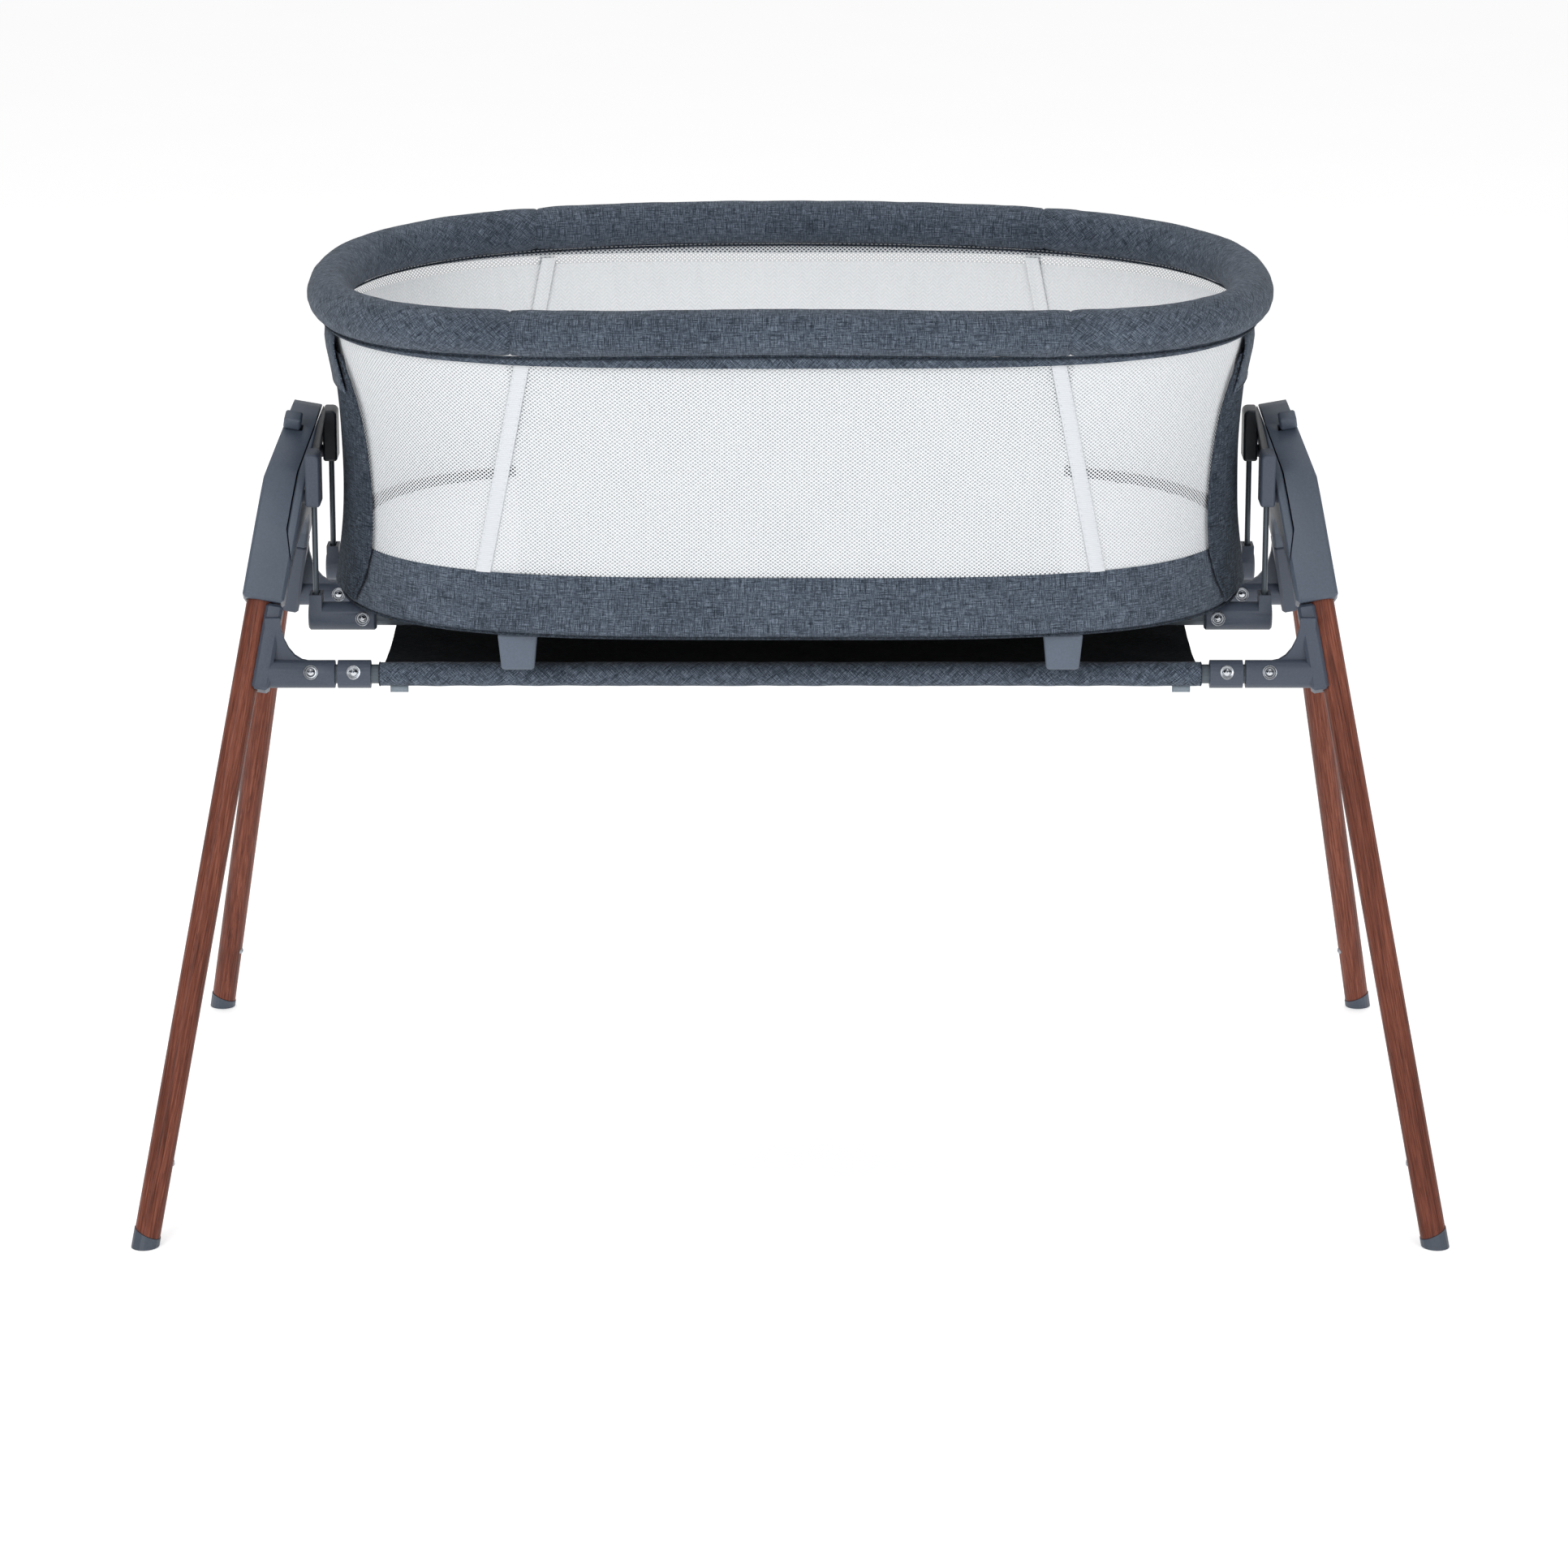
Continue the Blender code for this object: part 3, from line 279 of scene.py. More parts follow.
def moulded(name, color, roughness, grain=1.0):
    """Moulded plastic with a fine etched texture and faint handling marks."""
    look = Look(name, color, roughness)
    place = look.world()
    etched = look.noise(place, 2600.0, 2.0, 0.6)
    flow = look.noise(look.place(place, (9, 9, 4)), 1.0, 3.0)
    speck = look.noise(place, 700.0, 1.0)
    tone = look.weighted((flow, 0.6), (speck, 0.4))
    look.color(tone, [(0.35, tuple(c * 0.84 for c in color)), (0.65, tuple(c * 1.16 for c in color))])
    look.set("Roughness", look.grey(tone, 0.3, 0.7, roughness - 0.06, roughness + 0.08))
    look.bump(etched, 0.00022 * grain, 0.55)
    return look.mat


def wood_film(name, axis):
    """Satin reddish-brown wood-grain film, its grain along the leg."""
    look = Look(name, (0.27, 0.10, 0.06), 0.42)
    look.set("Specular IOR Level", 0.14)
    turn = Vector((0, 0, 1)).rotation_difference(Vector(axis)).inverted().to_euler()
    along = look.place(look.world(), turn=tuple(turn))
    bend = look.noise(look.place(along, (30, 30, 3.5)), 1.0, 3.0)
    shift = look.node("ShaderNodeCombineXYZ", {
        "X": look.math("MULTIPLY", bend, 0.010), "Y": look.math("MULTIPLY", bend, 0.008)}).outputs[0]
    curved = look.node("ShaderNodeVectorMath", {0: along, 1: shift}, operation="ADD").outputs[0]
    streaks = look.noise(look.place(curved, (900, 900, 26)), 1.0, 3.0, 0.65)
    pores = look.noise(look.place(curved, (1500, 1500, 90)), 1.0, 2.0)
    broad = look.noise(look.place(curved, (90, 90, 5)), 1.0, 2.0)
    tone = look.weighted((streaks, 0.70), (broad, 0.30))
    color = look.ramp(tone, [
        (0.36, (0.062, 0.018, 0.011)), (0.45, (0.115, 0.032, 0.019)),
        (0.54, (0.168, 0.050, 0.031)), (0.64, (0.245, 0.083, 0.052))])
    dark = look.grey(pores, 0.60, 0.72)
    mixed = look.node("ShaderNodeMix", {"Factor": look.math("MULTIPLY", dark, 0.65), "A": color,
                                        "B": (0.045, 0.014, 0.009, 1.0)}, data_type="RGBA")
    look.set("Base Color", mixed.outputs["Result"])
    look.set("Roughness", look.grey(streaks, 0.3, 0.7, 0.36, 0.50))
    look.bump(look.math("SUBTRACT", streaks, dark), 0.0002, 0.4)
    return look.mat


def metal(name, color, roughness, metallic):
    """Bare or painted metal, slightly worn."""
    look = Look(name, color, roughness, metallic)
    worn = look.noise(look.world(), 900.0, 2.0)
    look.set("Roughness", look.grey(worn, 0.3, 0.7, roughness * 0.8, roughness * 1.3))
    look.color(worn, [(0.3, tuple(c * 0.9 for c in color)), (0.7, color)])
    look.bump(worn, 0.00005, 0.3)
    return look.mat


def polished():
    """Mirror steel with a painted reflection: its colour is bright where it faces up or down and dark
    where it faces the room's horizon.
    """
    look = Look("steel_painted_reflection", (0.6, 0.6, 0.62), 0.09, 1.0)
    facing = look.node("ShaderNodeSeparateXYZ", {
        "Vector": look.node("ShaderNodeNewGeometry").outputs["Normal"]}).outputs[2]
    worn = look.noise(look.world(), 900.0, 2.0)
    place = look.math("ADD", look.math("MULTIPLY", facing, 0.5), look.math("MULTIPLY", worn, 0.08))
    # painted reflection: this colour ramp reads the normal's height, with a little wear noise mixed in
    look.color(place, [
        (0.12, (0.62, 0.64, 0.67)), (0.20, (0.10, 0.11, 0.13)),
        (0.32, (0.16, 0.17, 0.19)), (0.47, (0.80, 0.81, 0.83))])
    look.set("Roughness", look.grey(worn, 0.3, 0.7, 0.07, 0.12))
    look.bump(worn, 0.00003, 0.3)
    return look.mat


def board():
    """Dark fibre board."""
    look = Look("fibre_board", (0.045, 0.040, 0.035), 0.8)
    chips = look.noise(look.world(), 420.0, 3.0)
    look.color(chips, [
        (0.35, (0.030, 0.027, 0.024)), (0.65, (0.060, 0.052, 0.045))])
    look.bump(chips, 0.0003, 0.5)
    return look.mat


STRAIGHT = chambray("chambray_straight", 0.0)
DIAGONAL = chambray("chambray_diagonal", radians(45))
# painted shade: a much darker copy of the chambray for the sling's middle, which lies under the bassinet
SLING_PAINTED_SHADE = chambray("chambray_sling_painted_shade", radians(45), 0.17, 0.0)
END_CLOTH = chambray("chambray_end", 0.0, 0.66, 0.0)
# painted shade: a darker copy of the chambray for the piping and hem cords, standing in for the shade
# along the seams
CORD_PAINTED_SHADE = chambray("chambray_cord_painted_shade", radians(45), 0.45, 0.0)
SEAM_THREAD = thread("seam_thread", (0.006, 0.008, 0.011))
WHITE_THREAD = thread("white_thread", (0.80, 0.82, 0.85))
MESH = open_mesh("white_mesh", 0.24, 0.10)
LINER = liner_cloth()
COVER = quilted_cover()
TAPE = tape_cloth()
SLATE = moulded("slate_plastic", (0.048, 0.062, 0.090), 0.46)
SLATE_ARCH = moulded("slate_plastic_arch", (0.064, 0.083, 0.115), 0.46)
SLATE_FOOT = moulded("slate_plastic_foot", (0.046, 0.060, 0.084), 0.46)
SLATE_LIGHT = moulded("light_slate_plastic", (0.080, 0.103, 0.140), 0.5, 0.4)
# painted shade: a black copy of the plastic for the rear pivot covers
PIVOT_SHADE_BLACK = moulded("black_plastic", (0.026, 0.032, 0.040), 0.38, 0.5)
WEBBING = moulded("grey_webbing", (0.20, 0.24, 0.28), 0.8)
CHROME = polished()
RING_STEEL = metal("turned_steel", (0.36, 0.38, 0.41), 0.26, 0.9)
PAINTED = metal("painted_steel", (0.085, 0.105, 0.125), 0.36, 0.35)
BOARD = board()


# ---- mesh building ----
def finish_object(name, bm, mats, smooth_angle=40):
    """Turns the bmesh into an object that is smooth below the angle, in degrees."""
    mesh = bpy.data.meshes.new(name)
    bm.to_mesh(mesh)
    bm.free()
    for mat in mats:
        mesh.materials.append(mat)
    mesh.shade_smooth()
    mesh.set_sharp_from_angle(angle=radians(smooth_angle))
    obj = bpy.data.objects.new(name, mesh)
    bpy.context.scene.collection.objects.link(obj)
    return obj


def surface(name, size, point, flat, mats, wraps=(False, False), caps=False, material_of=None):
    """A grid of size (n, m) faces; point and flat give a place and its cloth coordinates."""
    n, m = size
    bm = bmesh.new()
    layer = bm.loops.layers.uv.new("weave")
    rows_n = n if wraps[0] else n + 1
    rows_m = m if wraps[1] else m + 1
    grid = [[bm.verts.new(point(i, j)) for j in range(rows_m)] for i in range(rows_n)]
    for i in range(n):
        for j in range(m):
            corners = ((i, j), (i + 1, j), (i + 1, j + 1), (i, j + 1))
            face = bm.faces.new([grid[a % rows_n][b % rows_m] for a, b in corners])
            if material_of:
                face.material_index = material_of(i, j)
            for loop, (a, b) in zip(face.loops, corners):
                loop[layer].uv = flat(a, b)
    if caps and wraps[1]:
        bm.faces.new(list(reversed(grid[0])))
        bm.faces.new(grid[-1])
    if wraps[1] or caps:
        bmesh.ops.recalc_face_normals(bm, faces=bm.faces)
    return finish_object(name, bm, mats)


def tube_along(name, points, radius, mat, segments=8, closed=False):
    """A round cord through the points."""
    count = len(points)
    points = [Vector(p) for p in points]
    frames = []
    for i in range(count):
        before = points[i - 1] if (i or closed) else points[0]
        after = points[(i + 1) % count] if (i + 1 < count or closed) else points[-1]
        along = (after - before).normalized()
        side = along.cross(Vector((0, 0, 1)))
        if side.length < 0.05:
            side = along.cross(Vector((0, 1, 0)))
        side.normalize()
        frames.append((side, side.cross(along)))
    run = [0.0]
    for i in range(count):
        run.append(run[-1] + (points[(i + 1) % count] - points[i]).length)

    def point(i, j):
        angle = 2 * pi * j / segments
        side, up = frames[i % count]
        return points[i % count] + (side * cos(angle) + up * sin(angle)) * radius

    def flat(i, j):
        return (run[i], 2 * pi * radius * j / segments)

    size = (count if closed else count - 1, segments)
    return surface(name, size, point, flat, [mat], (closed, True), caps=not closed)


def lengths_round(section):
    """Running length at each point of a closed section."""
    run = [0.0]
    for a, b in zip(section, section[1:] + section[:1]):
        run.append(run[-1] + hypot(a[0] - b[0], a[1] - b[1]))
    return run


STITCH, STITCH_GAP = 0.0024, 0.0012


def stitches(name, points, mat, lift, radius=0.00045):
    """Short thread stitches along a line of points; lift is the outward direction."""
    points = [Vector(p) for p in points]
    bm = bmesh.new()
    carry = 0.0
    for start, end in zip(points, points[1:]):
        step = end - start
        if step.length < 1e-6:
            continue
        along = step.normalized()
        place = carry
        while place + STITCH < step.length + 1e-9:
            middle = start + along * (place + STITCH / 2)
            side = along.cross(Vector(lift)).normalized()
            up = side.cross(along)
            turn = Matrix((along, side, up)).transposed().to_4x4()
            stretch = Matrix.Diagonal((STITCH / 2, radius, radius, 1))
            shape = Matrix.Translation(middle) @ turn @ stretch
            bmesh.ops.create_icosphere(bm, subdivisions=1, radius=1.0, matrix=shape)
            place += STITCH + STITCH_GAP
        carry = max(0.0, place - step.length)
    return finish_object(name, bm, [mat], 80)


def turned(name, profile, matrix, mats, segments=28, bands=None):
    """A turned solid: profile of (radius, height) about +Z, then placed by the matrix."""
    bm = bmesh.new()
    rings = []
    for radius, height in profile:
        if radius < 1e-6:
            rings.append([bm.verts.new(matrix @ Vector((0, 0, height)))])
            continue
        rings.append([bm.verts.new(matrix @ Vector((
            radius * cos(2 * pi * k / segments), radius * sin(2 * pi * k / segments), height)))
            for k in range(segments)])
    for row, (low, high) in enumerate(zip(rings, rings[1:])):
        for k in range(segments):
            a = low[k % len(low)]
            b = low[(k + 1) % len(low)]
            c = high[(k + 1) % len(high)]
            d = high[k % len(high)]
            face = bm.faces.new([v for i, v in enumerate((a, b, c, d)) if v not in (a, b, c, d)[:i]])
            if bands:
                face.material_index = bands[row]
    bmesh.ops.recalc_face_normals(bm, faces=bm.faces)
    return finish_object(name, bm, mats, 35)


# ---- the bassinet's outline ----
STEPS = 288


def unit_outline(steps):
    """Points of the outline for half sizes of 1, found by Newton's method."""
    points = []
    for step in range(steps):
        angle = 2 * pi * step / steps
        c, s = abs(cos(angle)), abs(sin(angle))
        reach = 1.0
        for _ in range(12):
            value = (reach * c) ** POWER_X + (reach * s) ** POWER_Y
            slope = (POWER_X * c * (reach * c) ** (POWER_X - 1)
                     + POWER_Y * s * (reach * s) ** (POWER_Y - 1))
            reach -= (value - 1.0) / slope
        points.append((reach * cos(angle), reach * sin(angle)))
    return points


UNIT = unit_outline(STEPS)
RUN = [0.0]
for place in range(STEPS):
    x0, y0 = UNIT[place]
    x1, y1 = UNIT[(place + 1) % STEPS]
    RUN.append(RUN[-1] + hypot((x1 - x0) * RIM_A, (y1 - y0) * RIM_B))


def outline(a, b, step):
    """A point of the outline with half sizes a and b."""
    x, y = UNIT[step % STEPS]
    return Vector((a * x, b * y, 0))


def outward(a, b, step):
    """The outline's outward direction."""
    x, y = UNIT[step % STEPS]
    nx = POWER_X * abs(x) ** (POWER_X - 1) / a * (1 if x > 0 else -1)
    ny = POWER_Y * abs(y) ** (POWER_Y - 1) / b * (1 if y > 0 else -1)
    return Vector((nx, ny, 0)).normalized()


def rim_height(x):
    """Height of the rim's centre line, which sags towards the ends."""
    return RIM_Z - RIM_DROP * abs(x / RIM_A) ** 1.5


def tail_end(x):
    """How far the binding's lower edge is under the rim's centre line."""
    return TAIL_END - TAIL_RISE * abs(x / RIM_A) ** 1.3


def wall_size(z):
    """Half length and half width of the wall at a height."""
    up = (z - BAND_LOW) / (RIM_Z - TAIL_END - BAND_LOW)
    a = LOW_A + (RIM_A - LOW_A) * up - WALL_DRAW * 4 * up * (1 - up)
    return a, LOW_B + (RIM_B - LOW_B) * up


def wall_point(step, z, push=0.0):
    """A point of the wall, pushed outwards."""
    a, b = wall_size(z)
    point = outline(a, b, step) + outward(a, b, step) * push
    point.z = z
    return point


def rim_point(step, push, rise):
    """A point beside the rim's centre line."""
    point = outline(RIM_A, RIM_B, step) + outward(RIM_A, RIM_B, step) * push
    point.z = rim_height(outline(RIM_A, RIM_B, step).x) + rise
    return point


def wall_top(step):
    """Height of the binding's lower edge, where the visible wall ends."""
    x = outline(RIM_A, RIM_B, step).x
    return rim_height(x) - tail_end(x)


def wall_at(x, z, row, push=0.0):
    """The point of the wall at a given x on the front or the rear."""
    a, b = wall_size(z)
    y = b * (1 - min(1.0, abs(x / a)) ** POWER_X) ** (1 / POWER_Y)
    nx = POWER_X * abs(x / a) ** (POWER_X - 1) / a * (1 if x > 0 else -1)
    ny = POWER_Y * max(y / b, 1e-6) ** (POWER_Y - 1) / b
    out = Vector((nx, row * ny, 0)).normalized()
    return Vector((x, row * y, z)) + out * push


def end_at(y, z, side, push=0.0):
    """The point of the wall at a given y on one end."""
    a, b = wall_size(z)
    x = a * (1 - min(1.0, abs(y / b)) ** POWER_Y) ** (1 / POWER_X)
    nx = POWER_X * max(x / a, 1e-6) ** (POWER_X - 1) / a
    ny = POWER_Y * abs(y / b) ** (POWER_Y - 1) / b * (1 if y > 0 else -1)
    out = Vector((side * nx, ny, 0)).normalized()
    return Vector((side * x, y, z)) + out * push


# ---- padded pieces ----
def applied(obj):
    """Puts the object's modifiers into its mesh."""
    graph = bpy.context.evaluated_depsgraph_get()
    mesh = bpy.data.meshes.new_from_object(obj.evaluated_get(graph))
    obj.modifiers.clear()
    obj.data = mesh
    return mesh


def inflate(obj, voxel, pressure, cap, frames=20):
    """Remeshes a closed piece and lets cloth pressure swell it by at most cap."""
    remesh = obj.modifiers.new("remesh", "REMESH")
    remesh.mode = "VOXEL"
    remesh.voxel_size = voxel
    mesh = applied(obj)
    rest = [v.co.copy() for v in mesh.vertices]
    cloth = obj.modifiers.new("cloth", "CLOTH")
    settings = cloth.settings
    settings.quality = 5
    settings.mass = 0.2
    settings.tension_stiffness = 12
    settings.compression_stiffness = 12
    settings.shear_stiffness = 5
    settings.bending_stiffness = 0.4
    settings.use_pressure = True
    settings.uniform_pressure_force = pressure
    settings.effector_weights.gravity = 0
    cloth.collision_settings.use_collision = False
    scene = bpy.context.scene
    scene.frame_start = 1
    scene.frame_end = frames
    for number in range(1, frames + 1):
        scene.frame_set(number)
    graph = bpy.context.evaluated_depsgraph_get()
    swollen = obj.evaluated_get(graph).to_mesh()
    moved = [v.co.copy() for v in swollen.vertices]
    obj.evaluated_get(graph).to_mesh_clear()
    obj.modifiers.clear()
    scene.frame_set(1)
    for vertex, start, end in zip(mesh.vertices, rest, moved):
        step = end - start
        if step.length > cap:
            step = step.normalized() * cap
        vertex.co = start + step


def smoothed(obj):
    """One subdivision, applied."""
    subdivide = obj.modifiers.new("subdivide", "SUBSURF")
    subdivide.levels = 1
    subdivide.render_levels = 1
    applied(obj)


def rim_cover():
    """The stuffed tube of the rim, in four sewn lengths."""
    segments = 20
    start = 0.0192

    def point(i, j):
        angle = 2 * pi * j / segments
        return rim_point(i, start * cos(angle), start * sin(angle))

    piece = surface("rim_tube", (STEPS, segments), point, lambda i, j: (0, 0),
                    [STRAIGHT, DIAGONAL], (True, True))
    inflate(piece, 0.006, 4.0, 0.0014)
    smoothed(piece)
    line = KDTree(STEPS)
    for step in range(STEPS):
        line.insert(rim_point(step, 0, 0), step)
    line.balance()

    bm = bmesh.new()
    bm.from_mesh(piece.data)
    for x in (-SEAM_X, SEAM_X):
        for shift in (-0.0012, 0.0, 0.0012):
            geom = bm.verts[:] + bm.edges[:] + bm.faces[:]
            bmesh.ops.bisect_plane(bm, geom=geom, plane_co=(x + shift, 0, 0),
                                   plane_no=(1, 0, 0), dist=1e-6)
    places = {}
    for vertex in bm.verts:
        _, step, _ = line.find(vertex.co)
        centre = rim_point(step, 0, 0)
        along = (rim_point(step + 1, 0, 0) - rim_point(step - 1, 0, 0)).normalized()
        ahead = (vertex.co - centre).dot(along)
        centre = centre + along * ahead
        spoke = vertex.co - centre
        out = outward(RIM_A, RIM_B, step)
        angle = atan2(spoke.z, spoke.dot(out))
        from_seam = abs(vertex.co.x) - SEAM_X
        crease = 0.0011 * exp(-(from_seam / 0.0010) ** 2)
        pull = 0.0007 * exp(-(from_seam / 0.0080) ** 2)
        grain = noise.noise(vertex.co * 26) * 0.0005 + noise.noise(vertex.co * 70) * 0.00025
        size = min(spoke.length, RIM_R + 0.0008)
        vertex.co = centre + spoke.normalized() * (size - crease - pull + grain)
        places[vertex] = (RUN[step] + ahead, (angle + pi / 2) % (2 * pi) * RIM_R)
    layer = bm.loops.layers.uv.get("weave") or bm.loops.layers.uv.new("weave")
    for face in bm.faces:
        centre = face.calc_center_median()
        face.material_index = 0 if abs(centre.x) < SEAM_X else 1
        flats = [places[loop.vert] for loop in face.loops]
        first = flats[0]
        for loop, (u, v) in zip(face.loops, flats):
            u += RUN[-1] * round((first[0] - u) / RUN[-1])
            v += 2 * pi * RIM_R * round((first[1] - v) / (2 * pi * RIM_R))
            loop[layer].uv = (u, v)
    piece.data.materials.clear()
    for mat in (STRAIGHT, DIAGONAL):
        piece.data.materials.append(mat)
    bm.to_mesh(piece.data)
    bm.free()
    piece.data.shade_smooth()
    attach(piece, "bassinet")
    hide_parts("rim_cover")


def rim_binding():
    """Bias strip that closes the rim cover, with a piping seam on each side of it; the piping is a
    darker copy of the chambray, painted shade along the seams.
    """
    section = [(0.0017, k / 4) for k in range(5)]
    section += [(0.0010, 1.06), (-0.0010, 1.06)]
    section += [(-0.0017, 1 - k / 4) for k in range(5)]

    def point(i, j):
        out, share = section[j % len(section)]
        low = -tail_end(outline(RIM_A, RIM_B, i).x) + 0.0004
        wave = noise.noise(Vector((RUN[i % STEPS] * 22, 0, 0))) * 0.0009 * share
        share = min(share, 1.0)
        puff = 0.0007 * sin(pi * share) * (1 if out > 0 else -1)
        return rim_point(i, 0.0042 + out * 0.6 + wave + puff, BINDING_TOP + (low - BINDING_TOP) * share)

    run = lengths_round([(out, share * 0.010) for out, share in section])
    strip = surface("rim_binding", (STEPS, len(section)), point, lambda i, j: (RUN[i], run[j]),
                    [DIAGONAL], (True, True))
    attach(strip, "bassinet")
    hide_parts("rim_cover")
    for name, push in (("rim_piping_outer", 0.0062), ("rim_piping_inner", -0.0030)):
        rise = -sqrt((RIM_R + 0.0002) ** 2 - push ** 2)
        points = [rim_point(step, push, rise) for step in range(0, STEPS, 2)]
        # the piping's darker colour is painted seam shade
        cord = tube_along(name, points, 0.0009, CORD_PAINTED_SHADE, 8, True)
        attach(cord, "bassinet")


def lining(name, steps, low, down):
    """A liner inside the mesh, up to a distance below the wall's top."""
    rows = 14

    def top_of(step):
        return wall_top(step) - down

    def level(i, j):
        return low + (top_of(steps[i]) - low) * j / rows

    def place(i, j):
        z = level(i, j)
        soft = noise.noise(Vector((RUN[steps[i] % STEPS] * 12, z * 20, 9.0))) * 0.0014
        return wall_point(steps[i], z, soft - 0.0035)

    piece = surface(name, (len(steps) - 1, rows), place,
                    lambda i, j: (RUN[steps[i] % STEPS], level(i, j)), [LINER])
    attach(piece, "bassinet")
    width = sum((wall_point(steps[k + 1], 0.62) - wall_point(steps[k], 0.62)).length
                for k in range(len(steps) - 1))


def mesh_walls():
    """The mesh walls round the bassinet, and the white liners inside them."""
    levels = 22

    def height(i, j):
        top = rim_height(outline(RIM_A, RIM_B, i).x) - MESH_TOP
        return WALL_LOW + (top - WALL_LOW) * j / levels

    def point(i, j):
        z = height(i, j)
        ripple = noise.noise(Vector((RUN[i % STEPS] * 9, z * 16, 3.0))) * 0.0010
        return wall_point(i, z, ripple - 0.0006)

    wall = surface("mesh_sides", (STEPS, levels), point, lambda i, j: (RUN[i], height(i, j)), [MESH],
                   (True, False))
    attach(wall, "bassinet")
    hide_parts("mesh_wall")

    front_half = range(STEPS // 2, STEPS)
    spots = {step: outline(RIM_A, RIM_B, step) for step in front_half}
    front_left, front_right = (
        min(front_half, key=lambda s: abs(spots[s].x - x)) for x in (-LINER_X, LINER_X))
    left_end, right_end = (
        min(front_half, key=lambda s: abs(spots[s].y + LINER_END_Y) + (spots[s].x * side < 0))
        for side in (-1, 1))
    lining("front_liner", range(front_left, front_right + 1), 0.5345, 0.001)
    lining("rear_liner", range(right_end - STEPS, left_end + 1), 0.5365, 0.006)


def tapes():
    """White tapes sewn down the mesh walls."""
    count = 16
    profile = [(-TAPE_HALF, 0.0004), (-0.0058, 0.0011), (-0.0020, 0.0014),
               (0.0020, 0.0014), (0.0058, 0.0011), (TAPE_HALF, 0.0004)]
    size = (count, len(profile) - 1)

    def flat(i, j):
        return profile[j][0], (TAPE_TOP - TAPE_LOW) * i / count

    for row_name, row, side_name, side in CORNERS:
        def spot(j, push, across):
            share = j / count
            z = TAPE_TOP + (TAPE_LOW - TAPE_TOP) * share
            x = side * (TAPE_TOP_X + (TAPE_LOW_X - TAPE_TOP_X) * share) + across
            return wall_at(x, z, row, push)

        tape = surface(f"tape_{row_name}_{side_name}", size,
                       lambda i, j: spot(i, profile[j][1], profile[j][0]), flat, [TAPE])
        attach(tape, "bassinet")
        if row_name == "rear":
            inner = surface(f"inner_tape_{side_name}", size,
                            lambda i, j: spot(i, -0.0055 - profile[j][1], profile[j][0]), flat, [LINER])
            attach(inner, "bassinet")
        for number, across in enumerate((-STITCH_INSET, STITCH_INSET)):
            line = [spot(j / 4, 0.0014, across) for j in range(4 * count + 1)]
            sewn = stitches(f"tape_stitch_{row_name}_{side_name}_{number}", line, WHITE_THREAD,
                            (0, row, 0), 0.00035)
            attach(sewn, "bassinet")


def lower_band():
    """Chambray band round the bottom, turned under at its lower edge."""
    section = [(-0.0010, 0.5397), (0.0004, 0.5402), (0.0012, 0.5390), (0.0014, 0.5340),
               (0.0012, 0.5240), (0.0010, 0.5130), (0.0010, 0.5020), (0.0006, 0.4930),
               (-0.0010, 0.4885), (-0.0045, 0.4868), (-0.0120, 0.4866), (-0.0120, 0.4876),
               (-0.0050, 0.4880), (-0.0024, 0.4900), (-0.0012, 0.4960), (-0.0010, 0.5100),
               (-0.0010, 0.5300)]
    run = lengths_round(section)

    def point(i, j):
        push, z = section[j % len(section)]
        ripple = noise.noise(Vector((RUN[i % STEPS] * 14, z * 30, 6.0))) * 0.0007
        return wall_point(i, z, push + ripple - 0.0006)

    band = surface("band_cloth", (STEPS, len(section)), point, lambda i, j: (RUN[i], run[j]),
                   [STRAIGHT], (True, True))
    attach(band, "bassinet")
    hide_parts("lower_band")
    piping = [wall_point(step, BAND_LOW, -0.0010) for step in range(0, STEPS, 2)]
    # painted shade: the band's piping uses the darkened chambray copy
    cord = tube_along("band_piping", piping, 0.0011, CORD_PAINTED_SHADE, 8, True)
    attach(cord, "bassinet")
    # painted shadow: a near-black cord laid in the gap inside the band's top, standing in for the shade
    # there
    gap_shadow_line = [wall_point(step, 0.5362, -0.0050) for step in range(0, STEPS, 2)]
    cord = tube_along("gap_painted_shadow", gap_shadow_line, 0.0021, SEAM_THREAD, 8, True)
    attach(cord, "bassinet")


def mattress():
    """Crowned foam pad in a quilted cover."""
    rings = [(0.4945, 0.016), (0.4990, 0.0115), (0.5100, 0.0100), (0.5220, 0.0100), (0.5310, 0.0110),
             (0.5338, 0.016), (0.5343, 0.045), (0.5345, 0.100), (0.5350, 0.180)]
    bm = bmesh.new()
    unit = UNIT[::3]

    def ring(inset, z):
        a, b = LOW_A - PAD_GAP - inset, LOW_B - PAD_GAP - inset
        return [bm.verts.new((a * x, b * y, z)) for x, y in unit]

    rows = [ring(inset, z) for z, inset in rings]
    bottom = [ring(inset, 0.4940) for inset in (0.030, 0.12)]
    rows = bottom[::-1] + rows
    for low, high in zip(rows, rows[1:]):
        for i in range(len(unit)):
            j = (i + 1) % len(unit)
            bm.faces.new((low[i], low[j], high[j], high[i]))
    bm.faces.new(list(reversed(rows[0])))
    bm.faces.new(rows[-1])
    pad = finish_object("mattress_pad", bm, [COVER], 60)
    inflate(pad, 0.006, 3.0, 0.0012, 12)
    for vertex in pad.data.vertices:
        x, y, z = vertex.co
        if z > 0.528:
            channel = min(abs(run / QUILT_PITCH % 1 - 0.5) for run in (x + y, x - y))
            vertex.co.z -= QUILT_DEPTH * exp(-(channel * QUILT_PITCH / QUILT_WIDTH) ** 2)
        vertex.co.z = min(max(vertex.co.z, PAD_LOW), PAD_TOP)
    pad.data.shade_smooth()
    pad.data.materials.clear()
    pad.data.materials.append(COVER)
    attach(pad, "bassinet")
    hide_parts("mattress")


